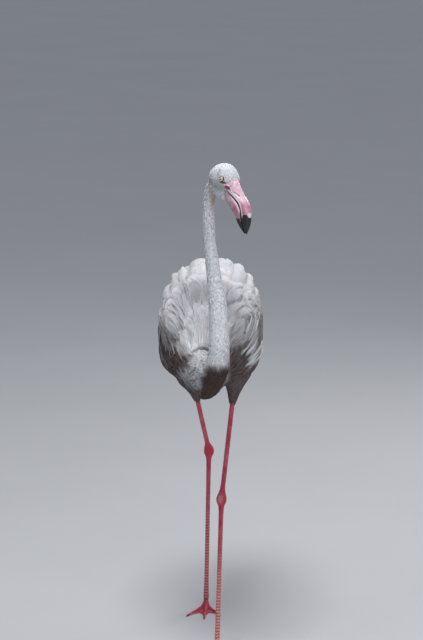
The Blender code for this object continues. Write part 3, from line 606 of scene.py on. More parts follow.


# %% [markdown]
# ## Materials
# Every finish here is worked out by nodes. The feathers read a map laid on each vane, across
# and along in millimetres, so their barbs slant away from the shaft however the feather lies.
# Marks that belong to a place on the bird, such as the soiling and painted shade low on the flanks, are
# numbers stored on the points, so skin and feathers carry the same ones.


# %% Node helpers
class Finish:
    """A material in the making: adds nodes, joins them, and mixes colours."""

    def __init__(self, name, **shader_values):
        self.material = bpy.data.materials.new(name)
        self.material.use_nodes = True
        self.tree = self.material.node_tree
        self.shader = self.tree.nodes["Principled BSDF"]
        for socket, value in shader_values.items():
            self.shader.inputs[socket.replace("_", " ")].default_value = value

    def node(self, kind, inputs=(), **settings):
        """Adds a node, sets its options, then fills or joins its numbered inputs."""
        made = self.tree.nodes.new("ShaderNode" + kind)
        for option, value in settings.items():
            setattr(made, option, value)
        for key, value in dict(inputs).items():
            socket = made.inputs[key]
            if isinstance(value, bpy.types.NodeSocket):
                self.tree.links.new(value, socket)
            else:
                socket.default_value = value
        return made

    def math(self, operation, a, b=0.0, c=0.0):
        """One arithmetic step on sockets or numbers."""
        return self.node("Math", {0: a, 1: b, 2: c}, operation=operation).outputs[0]

    def number(self, name):
        """A number stored on the points of the mesh."""
        return self.node("Attribute", attribute_name=name).outputs["Fac"]

    def place(self):
        """The point's place on the piece, in metres."""
        return self.node("TexCoord").outputs["Object"]

    def noise(self, scale, detail=3.0, vector=None):
        """Cloudy noise between 0 and 1, finer with a larger scale."""
        inputs = {"Scale": scale, "Detail": detail, "Roughness": 0.55, "Vector": vector or self.place()}
        return self.node("TexNoise", inputs).outputs["Fac"]

    def grain(self, scale):
        """Noise drawn out along the direction whose scale is small."""
        return self.noise(1.0, 3.0, self.node("Mapping", {"Vector": self.place(), "Scale": scale}).outputs[0])

    def ramp(self, value, low, high, to_low=0.0, to_high=1.0):
        """Rescales a number from one span to another, held at both ends."""
        inputs = {0: value, 1: low, 2: high, 3: to_low, 4: to_high}
        return self.node("MapRange", inputs, clamp=True).outputs[0]

    def mix(self, share, first, second):
        """Two colours mixed: share 0 gives the first and 1 the second."""
        made = self.node("Mix", data_type="RGBA")
        for key, value in ((0, share), (6, first), (7, second)):
            if isinstance(value, bpy.types.NodeSocket):
                self.tree.links.new(value, made.inputs[key])
            else:
                made.inputs[key].default_value = value if key == 0 else (*value, 1.0)
        return made.outputs[2]

    def marked(self, colour, **shades):
        """A colour with others laid over it, each as strongly as the mark of its name says."""
        for mark, shade in shades.items():
            colour = self.mix(self.number(mark), colour, shade)
        return colour

    def finish(self, colour, bump=None, depth=0.0005, strength=1.0, roughness=None):
        """Joins the colour, and where given a bump height and a roughness, to the shader."""
        self.tree.links.new(colour, self.shader.inputs["Base Color"])
        if bump is not None:
            raised = self.node("Bump", {"Height": bump, "Distance": depth, "Strength": strength})
            self.tree.links.new(raised.outputs[0], self.shader.inputs["Normal"])
        if roughness is not None:
            self.tree.links.new(roughness, self.shader.inputs["Roughness"])
        return self.material


# %% Feather and skin finishes
WHITE = (0.74, 0.74, 0.755)
BLUSH = (0.86, 0.70, 0.68)
SHADE = (0.42, 0.44, 0.48)
# Brown of soil and of painted shade, low on the body and over the eye.
SOIL = (0.052, 0.025, 0.017)
# Orange-brown under the throat: a tint, and the head's painted shadow on the neck.
SAND = (0.45, 0.30, 0.18)
# Colour of the painted shade in the folds between bunches of feathers.
FOLD = (0.115, 0.088, 0.080)
BARB_SLANT = -1.15  # how far a barb runs down the vane for each step it goes outwards


def barbs(f):
    """Distance from a vane's shaft in millimetres, and the place on the shaft where its barb starts."""
    vane = f.node("SeparateXYZ", {0: f.node("UVMap", uv_map="Vane").outputs[0]})
    across = f.math("ABSOLUTE", vane.outputs[0])
    return across, f.math("MULTIPLY_ADD", across, BARB_SLANT, vane.outputs[1])


def plumage(name, light, dark, barb_gap, shade_from=0.35, clouds=0.0):
    """Feather finish: barbs slanting off the shaft, darker towards the root as painted shade where tucked
    under, and clouded where asked.
    """
    f = Finish(name, Roughness=0.80, Specular_IOR_Level=0.10, Sheen_Weight=0.02, Sheen_Roughness=0.4)
    across, barb = barbs(f)
    chance = f.number("chance")
    streak_place = f.node("CombineXYZ", {
        0: f.math("DIVIDE", barb, barb_gap),
        1: f.math("MULTIPLY", chance, 90.0),
        2: f.math("MULTIPLY", across, 0.10),
    })
    streak = f.noise(1.0, 2.0, streak_place.outputs[0])
    # Painted shade: a vane darkens towards its root, which lies tucked under the vanes in front.
    tucked = f.ramp(f.number("along"), shade_from, 0.92, 1.0, 0.0)
    colour = f.mix(f.math("MULTIPLY", tucked, 0.55), light, dark)
    colour = f.mix(f.ramp(streak, 0.35, 0.70, 0.0, 0.30), colour, dark)
    colour = f.mix(f.ramp(chance, 0.55, 1.0, 0.0, 0.28), colour, BLUSH)
    colour = f.mix(f.ramp(chance, 0.30, 0.0, 0.0, 0.22), colour, dark)
    if clouds:
        colour = f.mix(f.ramp(f.noise(330.0, 3.0), 0.46, 0.62, 0.0, clouds), colour, (0.27, 0.30, 0.32))
    # Orange-brown under the throat: tint and the head's painted shadow.
    colour = f.mix(f.number("sand"), colour, SAND)
    # Soil and painted shade, with a few white barbs kept in it.
    colour = f.mix(f.math("MULTIPLY", f.number("soil"), f.ramp(streak, 0.35, 0.65, 1.0, 0.90)), colour, SOIL)
    # In the folds the feathers are darkened as painted shade.
    colour = f.mix(f.math("MULTIPLY", f.number("fold"), 0.80), colour, FOLD)
    shaft = f.ramp(across, 0.0, 0.45, 1.0, 0.0)
    height = f.math("MULTIPLY_ADD", shaft, 0.5, streak)
    return f.finish(colour, height, 0.0003, 0.5)


# The trunk's coat is a greyer white than the neck's down and the pale feathers: painted shade, not a darker
# feather.
COAT = plumage("white_feathers", (0.62, 0.615, 0.630), (0.31, 0.32, 0.35), 0.9)
PALE_DOWN = plumage("pale_down", (0.86, 0.87, 0.88), (0.60, 0.62, 0.64), 0.5, 0.25, 0.20)
DOWN = plumage("neck_down", (0.88, 0.89, 0.90), (0.50, 0.53, 0.56), 0.7, 0.25, 0.40)

black = Finish("black_flight_feathers", Roughness=0.42, Specular_IOR_Level=0.45)
barb_wave = black.math("SINE", black.math("MULTIPLY", barbs(black)[1], 5.5))
black_colour = black.mix(black.ramp(barb_wave, -1, 1), (0.012, 0.011, 0.013), (0.035, 0.031, 0.033))
BLACK_VANE = black.finish(black_colour, barb_wave, 0.0002)

skin = Finish("feathered_skin", Roughness=0.7, Specular_IOR_Level=0.3)
fine = skin.noise(900.0, 2.0)
skin_colour = skin.mix(skin.ramp(fine, 0.35, 0.65, 0.0, 0.6), WHITE, SHADE)
# The skin takes the same tint, soil and painted shade as the feathers.
skin_colour = skin.marked(skin_colour, sand=SAND, soil=SOIL)
pink_skin = skin.mix(skin.ramp(skin.noise(420.0, 4.0), 0.35, 0.7), (0.66, 0.35, 0.43), (0.82, 0.60, 0.66))
# dusk: a painted shadow under the eye's front corner, and the dark ring round the lids.
skin_colour = skin.marked(
    skin_colour, bare=pink_skin, dusk=(0.075, 0.038, 0.026), mauve=(0.17, 0.055, 0.085),
    pale=(0.90, 0.76, 0.79),
)
SKIN = skin.finish(skin_colour, fine, 0.0004, 0.7)


# %% Bill, eye, leg and claw finishes
def bill_finish(name):
    """Horn from pink to black, with fine lengthwise grain; pale and deep rosy marks, and painted shade in the
    grooves, come from the points.
    """
    f = Finish(name, Roughness=0.36, Specular_IOR_Level=0.5, Coat_Weight=0.12, Coat_Roughness=0.25)
    cloud = f.noise(160.0, 4.0)
    grain = f.grain((900.0, 900.0, 260.0))
    colour = f.mix(f.ramp(cloud, 0.35, 0.65), (0.58, 0.34, 0.43), (0.74, 0.53, 0.61))
    # Groove colour: painted shade in the nostril slit, the side groove and the mouth between the halves.
    colour = f.marked(colour, rosy=(0.40, 0.10, 0.17), pale=(0.96, 0.89, 0.92), groove=(0.10, 0.03, 0.045))
    horn = f.mix(f.ramp(cloud, 0.3, 0.7), (0.010, 0.009, 0.011), (0.030, 0.026, 0.028))
    colour = f.marked(colour, black=horn)
    return f.finish(colour, grain, 0.0002, 0.6, f.ramp(grain, 0.2, 0.8, 0.30, 0.46))


BILL = bill_finish("bill_horn")


def eye_finish(name, centre, axis):
    """Pupil, iris and dark rim by the angle from the eye's axis, under a clear wet coat."""
    f = Finish(name, Roughness=0.12, Specular_IOR_Level=0.6, Coat_Weight=1.0, Coat_Roughness=0.03)
    from_centre = f.node("VectorMath", {0: f.place(), 1: centre}, operation="SUBTRACT").outputs[0]
    aim = f.node("VectorMath", {0: from_centre}, operation="NORMALIZE").outputs[0]
    turned = f.node("VectorMath", {0: aim, 1: axis}, operation="DOT_PRODUCT").outputs["Value"]
    angle = f.math("ARCCOSINE", turned)
    spokes = f.noise(700.0, 3.0)
    iris = f.mix(f.ramp(spokes, 0.35, 0.65), (0.70, 0.60, 0.34), (0.90, 0.86, 0.66))
    colour = f.mix(f.ramp(angle, 0.225, 0.25), (0.004, 0.004, 0.005), iris)
    colour = f.mix(f.ramp(angle, 0.465, 0.50), colour, (0.02, 0.012, 0.008))
    return f.finish(colour, spokes, 0.0001, 0.3)


def leg_finish(name):
    """Scaly skin: cross plates down the front of the leg, small round scales elsewhere."""
    f = Finish(name, Roughness=0.5, Specular_IOR_Level=0.45)
    cells = f.node("TexVoronoi", {"Vector": f.place(), "Scale": 620.0, "Randomness": 0.8},
                   feature="DISTANCE_TO_EDGE")
    edge = f.ramp(cells.outputs["Distance"], 0.0, 0.12, 1.0, 0.0)
    patch = f.noise(38.0, 3.0)
    colour = f.mix(f.ramp(patch, 0.35, 0.65), (0.60, 0.045, 0.100), (0.74, 0.15, 0.195))
    # salmon: a pale patch on one ankle, and pale plate centres that are partly the plates' tone and partly
    # painted highlight.
    colour = f.marked(colour, deep=(0.74, 0.028, 0.090), ochre=(0.42, 0.17, 0.08), salmon=(0.84, 0.46, 0.44))
    line = f.math("MAXIMUM", f.math("MULTIPLY", edge, 0.45), f.number("seam"))
    colour = f.mix(line, colour, (0.13, 0.012, 0.022))
    bump = f.math("SUBTRACT", 1.0, edge)
    return f.finish(colour, bump, 0.0003, 0.9, f.ramp(patch, 0.3, 0.7, 0.34, 0.52))


LEG = leg_finish("scaled_leg_skin")

claw = Finish("claw_horn", Roughness=0.35, Specular_IOR_Level=0.5)
claw_grain = claw.grain((900.0, 250.0, 900.0))
claw_colour = claw.mix(claw.ramp(claw_grain, 0.3, 0.7), (0.035, 0.018, 0.020), (0.13, 0.07, 0.07))
CLAW = claw.finish(claw_colour, claw_grain, 0.0003)

ground = Finish("studio_floor", Roughness=0.85, Specular_IOR_Level=0.2, Emission_Color=(0.86, 0.90, 1.0, 1.0),
                Emission_Strength=0.14)
clouds = ground.ramp(ground.noise(1.4, 4.0), 0.3, 0.7)
FLOOR = ground.finish(ground.mix(clouds, (0.40, 0.40, 0.405), (0.43, 0.43, 0.435)))


# %% [markdown]
# ## Marks that skin and feathers share
# The underside of the bird is browner, most of all the flanks behind the breast and
# the underside of the neck's bend: partly soil and partly painted shade, and under the neck's bend and along
# the left wing's outer edge mostly painted shade. The front of the upper neck is tinged with orange-brown,
# partly a tint and partly the head's painted shadow, and a brown line over the eye is a painted shadow.
# Each mark is a number from 0 to 1 worked out from a point's place. Left and right are the bird's.


# %% Shared marks
# Line of the painted shadow over the eye.
BROW = ((0.0135, 0.0140), (0.0110, 0.0085), (0.0101, 0.0050), (0.0122, 0.0005))  # forward and up on the head
NAPE_HEIGHT = 1.05  # marks above this are the head's


def line_distance(points, line):
    """Distance from each 2-D point to a smooth line, read as short straight pieces."""
    return nearest_distance(points, along(line, np.linspace(0, len(line) - 1, 8 * len(line))))


def near_line(points, line, wide):
    """1 on a line and falling off as a bell curve of the given half width."""
    return np.exp(-((line_distance(points, line) / wide) ** 2))


def soil_mark(points):
    """Brown on both flanks behind the breast, under the neck's bend and on the belly, with soft edges: partly
    soil and partly painted shade, and mostly painted shade under the neck's bend and along the left wing's
    edge. On the head it is a painted shadow line over the eye and a darker, mottled lower cheek.
    """
    p = points - MOVED
    x, y, z = p.T
    rough = 0.010 * mottle(p, 0.022) + 0.010 * mottle(p, 0.0070)
    ahead = smooth_step(0.11, 0.01, y + rough)
    right = smooth_step(0.026, -0.014, z - (0.667 - 0.674 * x) + rough)
    right = right * smooth_step(0.012, -0.012, x + 0.046 + 0.6 * (0.698 - z) + rough)
    left = smooth_step(0.736, 0.700, z + rough) * smooth_step(0.026, 0.044, x)
    left = left * np.maximum(smooth_step(0.094, 0.080, x + 0.5 * rough), smooth_step(0.665, 0.645, z))
    # Along the outer edge of the left wing the brown is painted shade.
    edge = 0.7 * smooth_step(0.096, 0.106, x) * smooth_step(0.790, 0.755, z + rough)
    edge = edge * smooth_step(-0.11, -0.08, y)
    right, left, edge = right * (0.12 + 0.88 * ahead), left * (0.12 + 0.88 * ahead), edge * ahead
    belly = smooth_step(0.680 - 0.030 * (1 - ahead), 0.625 - 0.020 * (1 - ahead), z + rough)
    # Under the neck's bend the brown is mostly painted shade.
    bend = smooth_step(0.712, 0.688, z + 0.5 * rough)
    bend = bend * smooth_step(-0.009, 0.009, x + 0.012 + 0.25 * (0.700 - z) + 0.4 * rough)
    bend = bend * smooth_step(-0.200, -0.235, y)
    spots = np.exp(-((((p - (-0.040, -0.262, 0.668)) / (0.019, 0.050, 0.027)) ** 2).sum(1)) ** 2)
    amount = np.maximum.reduce((right, left, edge, belly)) * (0.90 + 0.08 * mottle(p, 0.0035))
    amount = amount * (1 - spots) + spots * smooth_step(-0.15, 0.35, mottle(p, 0.0026, 3.0)) * 0.8
    amount = np.maximum(amount, bend)
    own = to_head(points)
    # A painted shadow line over the eye, on the head's sides.
    brow_line = near_line(own[:, (0, 2)], BROW, 0.0024)
    # The lower cheek is darkened, with mottling.
    cheek = smooth_step(0.003, -0.012, own[:, 2]) * smooth_step(0.9, 0.2, np.abs(own[:, 2] + 0.018) / 0.030)
    face = 0.40 * brow_line * (np.abs(own[:, 1]) > 0.009) + 0.22 * cheek * (0.6 + 0.4 * mottle(own, 0.0022))
    return np.clip(np.where(z > NAPE_HEIGHT, face, amount), 0, 1)


def sand_mark(points):
    """An orange-brown tinge down the front of the upper neck, under the throat: partly a tint of the
    feathers, partly the head's painted shadow.
    """
    p = points - MOVED
    ahead = (p[:, 0] - 0.002) * 0.8 - (p[:, 1] + 0.250) * 0.6
    own = to_head(points)
    on_neck = smooth_step(-0.021, -0.027, own[:, 0]) + smooth_step(-0.050, -0.056, own[:, 2])
    in_front = 0.75 * smooth_step(-0.003, 0.004, ahead) * smooth_step(1.015, 1.045, p[:, 2])
    return in_front * np.clip(on_neck, 0, 1)


# %% [markdown]
# ## One skin for trunk, wings, neck, head and thighs
# The skin lies below the solids' surface by the depth of the coat. We make each tube a little
# smaller along its normals, then melt them together, so no seam shows at nape, throat or groin.
# The head is then made finer and given its own relief.

# %% The skin's tubes
BODY_COAT, NECK_COAT, HEAD_COAT, THIGH_COAT = 0.0042, 0.0016, 0.0010, 0.0030


def body_depth(place):
    """Depth of the coat along the body: thin at the top of the neck, thicker on the trunk."""
    return NECK_COAT + (BODY_COAT - NECK_COAT) * smooth_step(11.5, 7.5, place)


def shrunken(surface, places, around, depth, facing, name):
    """A tube through a surface moved inwards by depth."""
    u, v = np.meshgrid(places, round_angles(around), indexing="ij")
    normals = outward(surface, u, v, facing)
    deep = depth(u) if callable(depth) else np.full(u.shape, depth)
    return tube(name, surface(u, v) - normals * deep[..., None])


def facing_of(surface, place):
    """1 or -1, so that the crossed partials point away from the middle of the section there."""
    angles = np.linspace(0, TURN, 9)[:-1]
    points = surface(np.full(8, place), angles)
    normals = outward(surface, np.full(8, place), angles, 1)
    return 1 if ((points - points.mean(0)) * normals).sum() > 0 else -1


HEAD_FACING = facing_of(head_surface, 4.0)
THROAT_FACING = facing_of(throat_surface, 2.0)
THIGHS = {side: thigh_surface(side) for side in KNEE}
THIGH_FACING = {side: facing_of(THIGHS[side], 2.0) for side in KNEE}

tubes = [
    shrunken(body_surface, np.linspace(0.25, NECK_TOP - 0.02, 260), 120, body_depth, BODY_FACING,
             "body_tube"),
    shrunken(head_surface, np.linspace(0.1, 7.9, 60), 64, HEAD_COAT, HEAD_FACING, "head_tube"),
    shrunken(throat_surface, np.linspace(0.05, 3.95, 24), 32, HEAD_COAT, THROAT_FACING, "throat_tube"),
]
tubes += [
    shrunken(THIGHS[side], np.linspace(0.0, 3.98, 40), 40, THIGH_COAT * 0.6, THIGH_FACING[side],
             "thigh_tube_" + side)
    for side in KNEE
]
SKIN_VOXEL = 0.0030
skin_piece = melted("skin", tubes, SKIN_VOXEL, SKIN, 3)
print("skin:", len(skin_piece.data.polygons), "faces")

# %% [markdown]
# ## The face
# The forehead's feathers end in a low curve over the bill. Bare pink skin runs from there
# under the eye, with a darker brown patch at the eye's front corner, painted as the shadow under the eye, and
# a sunken mauve triangle at the root of the bill, bordered by pale folds. The folds are ridges: a soft bump
# along a line on the side of the head, seen from the side as forward and up.

# %% Relief and marks of the face
FACE_REACH = 0.036
# Feathers end in front where forward is more than this, for each height (up, forward).
BARE_EDGE = ((-0.0480, 0.0190), (-0.0410, 0.0190), (-0.0330, 0.0185), (-0.0214, 0.0215), (-0.0127, 0.0250),
             (-0.0100, 0.0345), (-0.0070, 0.0410), (0.0000, 0.0435), (0.0200, 0.0450))
# Folds of skin: line of (forward, up) points, half width, height
FOLDS = (
    (((0.0235, -0.0165), (0.0270, -0.0145), (0.0330, -0.0155), (0.0385, -0.0205), (0.0400, -0.0260)),
     0.0011, 0.0011),
    (((0.0215, -0.0255), (0.0255, -0.0290), (0.0310, -0.0300), (0.0375, -0.0290)), 0.0012, 0.0011),
)
MAUVE_CORNERS = np.array(((0.0225, -0.0218), (0.0345, -0.0292), (0.0395, -0.0185), (0.0285, -0.0165)))
WINDOW = (EYE_PLACE + (0.0008, 0, 0) + EYE_AIM * EYE_RADIUS)[[0, 2]]  # forward and up of the eye's window
SOCKET = 0.0047
# Line of the painted shadow under the eye's front corner, forward and up on the head.
DUSK_LINE = ((0.0182, -0.0084), (0.0230, -0.0102), (0.0276, -0.0114))


def dusk_mark(head_points):
    """Dark brown on the skin: a patch at the eye's lower front corner, painted as the shadow under the eye,
    and a narrow ring round the lids.
    """
    side_view = head_points[:, (0, 2)]
    corner = np.exp(-((line_distance(side_view, DUSK_LINE) / 0.0036) ** 3))
    ring = smooth_step(SOCKET + 0.0022, SOCKET, np.linalg.norm(side_view - WINDOW, axis=1))
    return np.clip(np.maximum(corner, ring), 0, 1) * (np.abs(head_points[:, 1]) > 0.006)


def inside_patch(points, corners, soft):
    """1 inside a shape with straight sides and 0 outside: the least distance to a side, softened."""
    least = np.full(len(points), 1.0)
    for a, b in zip(corners, np.roll(corners, -1, 0)):
        side = (b - a) / np.linalg.norm(b - a)
        least = np.minimum(least, (points - a) @ (-side[1], side[0]))
    return smooth_step(-soft, soft, least)


def bare_share(head_points):
    """1 on bare skin in front of the feathers' edge and 0 behind it, over about a millimetre."""
    edge = np.interp(head_points[:, 2], *zip(*BARE_EDGE))
    return smooth_step(-0.0006, 0.0008, head_points[:, 0] - edge + 0.0006 * mottle(head_points, 0.0012))


def refine_head(made):
    """Splits the faces near the head twice, so that the folds of the face have points to stand on."""
    for reach in (FACE_REACH + 0.010, FACE_REACH):
        points = mesh_points(made)
        middle = from_head(np.array((0.012, 0.0, -0.008)))
        near = np.linalg.norm(points - middle, axis=1) < reach
        corners = np.zeros(len(made.data.loops), np.int32)
        starts = np.zeros(len(made.data.polygons), np.int32)
        made.data.loops.foreach_get("vertex_index", corners)
        made.data.polygons.foreach_get("loop_start", starts)
        flags = np.minimum.reduceat(near[corners].astype(np.int8), starts).astype(bool)
        made.data.polygons.foreach_set("select", flags)
        edge_ends = np.zeros(len(made.data.edges) * 2, np.int32)
        made.data.edges.foreach_get("vertices", edge_ends)
        made.data.vertices.foreach_set("select", near)
        made.data.edges.foreach_set("select", near[edge_ends.reshape(-1, 2)].all(1))
        bpy.context.view_layer.objects.active = made
        bpy.ops.object.mode_set(mode="EDIT")
        bpy.ops.mesh.subdivide(number_cuts=1, smoothness=0.6, quadcorner="INNERVERT")
        bpy.ops.object.mode_set(mode="OBJECT")


refine_head(skin_piece)
points, normals = mesh_points(skin_piece), mesh_normals(skin_piece)
face = to_head(points)
near_head = np.linalg.norm(face - (0.012, 0.0, -0.008), axis=1) < FACE_REACH + 0.004
flat_place = face[:, (0, 2)]
rise = np.zeros(len(points))
pale = np.zeros(len(points))
for line, wide, tall in FOLDS:
    gap = line_distance(flat_place, line)
    on_side = smooth_step(0.004, 0.009, np.abs(face[:, 1]))
    rise += tall * np.exp(-((gap / wide) ** 2)) * on_side
    pale = np.maximum(pale, np.exp(-((gap / (wide * 0.9)) ** 2)) * on_side)
mauve = inside_patch(flat_place, MAUVE_CORNERS, 0.0012)
rise -= 0.0012 * mauve
eye_gap = np.linalg.norm(flat_place - WINDOW, axis=1)
rise -= 0.0030 * smooth_step(SOCKET + 0.0012, SOCKET - 0.0010, eye_gap) * (np.abs(face[:, 1]) > 0.010)
brow = np.exp(-(((flat_place - (0.0190, 0.0065)) / (0.0100, 0.0028)) ** 2).sum(1))
rise += 0.0009 * brow
points += normals * (rise * near_head)[:, None]
move_points(skin_piece, points)

bare = bare_share(face) * near_head
set_marks(
    skin_piece, bare=bare, dusk=dusk_mark(face) * near_head * 0.92, mauve=mauve * bare * 0.85,
    pale=pale * bare * 0.85, soil=soil_mark(points), sand=sand_mark(points),
)
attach(skin_piece, "root")
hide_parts("trunk", "neck_lower", "neck_middle", "neck_upper", "head", "throat",
            "thigh_left", "thigh_right", "wing_left", "wing_right")
print("skin with its face:", len(skin_piece.data.polygons), "faces")

# %% [markdown]
# ## Eyes and lids
# The eye is a ball set in the side of the head, so that only a round window of it shows
# between the lids. The lids are a ring of skin that hugs the ball: a small round profile
# carried round the eye's axis, with fine folds. Pupil and iris are painted by angle from that axis.


# %% Eyes and lids
def ball(name, centre, radius, levels, around, axis, finish):
    """A ball with its poles on an axis: rings of sine radius at cosine height, with tiny end rings."""
    axis = unit(np.asarray(axis, float))
    side = unit(np.cross(axis, (0.0, 0.0, 1.0)))
    up = np.cross(side, axis)
    polar = np.linspace(0.02, math.pi - 0.02, levels)[:, None, None]
    turn = round_angles(around)[None, :, None]
    ring = np.cos(turn) * side + np.sin(turn) * up
    grid = centre + radius * (np.cos(polar) * axis + np.sin(polar) * ring)
    made = tube(name, grid, finish)
    recalculated(made)
    return made


def lid_ring(name, centre, axis, finish):
    """A ring hugging the eyeball: an oval opening whose rim is a small round profile with folds."""
    axis = unit(np.asarray(axis, float))
    side = unit(np.cross(axis, (0.0, 0.0, 1.0)))
    up = np.cross(side, axis)
    turn, profile = np.meshgrid(round_angles(72), round_angles(18), indexing="ij")
    opening = 0.00340 + 0.00022 * np.cos(2 * turn)
    spread = np.stack((np.cos(turn), np.sin(turn)), -1)
    thick = 0.00068 * (1 + 0.10 * np.sin(9 * turn + 2 * profile))
    out = opening + 0.00062 + thick * np.cos(profile)
    high = np.sqrt(np.maximum(EYE_RADIUS**2 - out**2, 1e-9)) + thick * 0.75 * np.sin(profile) + 0.00005
    grid = centre + axis * high[..., None] + (side * spread[..., :1] + up * spread[..., 1:]) * out[..., None]
    levels, around = grid.shape[:2]
    i, j = np.meshgrid(np.arange(levels), np.arange(around), indexing="ij")
    k, m = (i + 1) % levels, (j + 1) % around
    faces = np.stack((i * around + j, i * around + m, k * around + m, k * around + j), -1).reshape(-1, 4)
    made = make_object(name, grid.reshape(-1, 3), [faces], finish)
    recalculated(made)
    return made


lid = Finish("eyelid_skin", Roughness=0.55, Specular_IOR_Level=0.4)
lid_grain = lid.noise(1500.0, 3.0)
lid_colour = lid.mix(lid.ramp(lid_grain, 0.3, 0.7), (0.30, 0.22, 0.14), (0.50, 0.42, 0.30))
LID = lid.finish(lid_colour, lid_grain, 0.0002)

for side, sign in (("left", 1), ("right", -1)):
    centre = from_head((EYE_PLACE + (0.0008, 0, 0)) * (1, sign, 1))
    axis = HEAD_TURN @ (EYE_AIM * (1, sign, 1))
    finish = eye_finish("eye_" + side, tuple(centre), tuple(axis))
    eye = ball("eyeball_" + side, centre, EYE_RADIUS, 40, 48, axis, finish)
    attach(eye, "root")
    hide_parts("eye_" + side)
    lids = lid_ring("eyelid_" + side, centre, axis, LID)
    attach(lids, "root")
print("eyes: balls of", round(EYE_RADIUS * 2000, 1), "mm with lids")

# %% [markdown]
# ## The bill
# A flamingo's bill is bent in its middle like a boomerang. The upper half is a lid with a ridge and
# a long nostril slit, the lower half is a deep trough, and pale rims border the gape. We draw the
# profiles as seen from the side, fill between them with an arch, and push grooves and rims
# in or out where the side view says so. The grooves and the mouth between the halves are darkened as painted
# shade.

# %% The bill's halves
RIM_UPPER = tuple((f + 0.0012, u + 0.0018) for f, u in GAPE[1:])
RIM_LOWER = tuple((f - 0.0056, u - 0.0038) for f, u in GAPE[1:])
NOSTRIL = ((0.0470, -0.0300), (0.0515, -0.0322), (0.0560, -0.0345), (0.0600, -0.0376))
SIDE_GROOVE = ((0.0585, -0.0365), (0.0665, -0.0450), (0.0725, -0.0580), (0.0745, -0.0740))
NOSTRIL_LIP = ((0.0405, -0.0275), (0.0455, -0.0325), (0.0520, -0.0358), (0.0600, -0.0410))


def bill_half(edge, far_edge, half_widths, arch, levels=200, around=96):
    """Rings of half a bill: an arch from one gape edge to the other, then a flat closing side."""
    places = np.linspace(0, len(edge) - 1, levels)
    near, far = along(edge, places), along(far_edge, places)
    wide = along([(w,) for w in half_widths], places)[:, 0]
    top = np.linspace(0, math.pi, around - 12)
    across = np.concatenate((np.cos(top), np.linspace(-1, 1, 14)[1:-1]))
    rise = np.concatenate((np.sin(top) ** arch, np.zeros(12)))
    middle = near[:, None, :] + (far - near)[:, None, :] * rise[None, :, None]
    grid = np.stack((middle[..., 0], across[None, :] * wide[:, None], middle[..., 1]), -1)
    shape = grid.shape[:2]
    return grid, np.broadcast_to(places[:, None], shape), np.broadcast_to(rise[None, :], shape)


def marked_bill(name, grid, places, rise, grooves, rims, black_line, reach, rosy_from, nodes):
    """Pushes grooves in and rims out sideways, darkens the grooves and the mouth between the halves as
    painted shade, then stores each mark on the points.
    """
    levels, around = grid.shape[:2]
    flat = grid.reshape(-1, 3).copy()
    side_view = flat[:, (0, 2)]
    outer = (rise.ravel() > 0.02) * np.sign(flat[:, 1])
    flank = smooth_step(0.0015, 0.0045, np.abs(flat[:, 1]))
    groove, pale = np.zeros(len(flat)), np.zeros(len(flat))
    for line, wide, deep, dark in grooves:
        mark = near_line(side_view, line, wide) * flank
        flat[:, 1] -= outer * deep * mark
        groove = np.maximum(groove, mark * dark)
    for line, wide, tall, light in rims:
        mark = near_line(side_view, line, wide) * flank
        flat[:, 1] += outer * tall * mark
        pale = np.maximum(pale, mark * light)
    from_middle = np.abs(flat[:, 1])
    # The flat closing side, where the halves meet, is darkened as painted shade.
    mouth = ((rise.ravel() < 0.02) & (flank > 0.0)) * smooth_step(0.9, 0.8, from_middle / from_middle.max())
    groove = np.maximum(groove, mouth)
    edge = near_line(side_view, rims[0][0], 0.0019) * flank + 0.8 * near_line(side_view, RIDGE, 0.0016)
    above_line = side_view[:, 1] - black_line + reach * edge + 0.0004 * mottle(flat, 0.0022)
    tip = smooth_step(0.0007, -0.0007, above_line)
    near_tip = smooth_step(black_line + 0.006, black_line, side_view[:, 1])
    pale = np.maximum(pale, near_tip * np.clip(edge, 0, 1))
    deep_pink = smooth_step(rosy_from, rosy_from + 2.4, places.ravel()) * (0.62 + 0.25 * mottle(flat, 0.006))
    made = make_object(name, from_head(flat), tube_faces(levels, around), BILL)
    recalculated(made)
    horn = 1 - tip
    set_marks(made, groove=groove * horn, pale=pale * horn, rosy=np.clip(deep_pink, 0, 1) * horn, black=tip)
    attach(made, "root")
    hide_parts(*nodes)
    return made


gape, ridge, keel = np.array(GAPE), np.array(RIDGE), np.array(KEEL)
to_keel = keel - gape
opening = np.interp(np.arange(len(gape)), (0, 1, 2, 4, 6, 8),
                    (0.0006, 0.0028, 0.0042, 0.0058, 0.0068, 0.0040))
lower_edge = gape + to_keel / np.linalg.norm(to_keel, axis=1)[:, None] * opening[:, None]
upper_bill = marked_bill(
    "bill_upper_half", *bill_half(gape, ridge, UPPER_BILL_HALF_WIDTHS, 0.66),
    ((NOSTRIL, 0.00085, 0.0016, 0.95), (SIDE_GROOVE, 0.0010, 0.0006, 0.25)),
    ((RIM_UPPER, 0.0015, 0.0005, 1.0), (NOSTRIL_LIP, 0.0010, 0.0006, 0.85)),
    -0.0750, 0.0085, 2.7, ("bill_upper", "bill_tip_upper"),
)
lower_bill = marked_bill(
    "bill_lower_half", *bill_half(lower_edge, keel, LOWER_BILL_HALF_WIDTHS, 0.42),
    (), ((RIM_LOWER, 0.0015, 0.0005, 1.0),),
    -0.0850, 0.0060, 1.2, ("bill_lower", "bill_tip_lower"),
)
print("bill:", len(upper_bill.data.polygons) + len(lower_bill.data.polygons), "faces")

# %% [markdown]
# ## How a feather is laid
# A coat is thousands of small vanes, each a closed, very thin leaf. A vane is a small grid: rows
# from root to tip, columns from edge to edge. Instead of placing a ready leaf with a matrix,
# we print its grid on to the body's surface in the surface's own two numbers, so long
# feathers bend round the body by themselves, and then lift it off the skin, more at the tip
# than at the root. The grid's tip is rounded, and its edge is broken by a little chance.


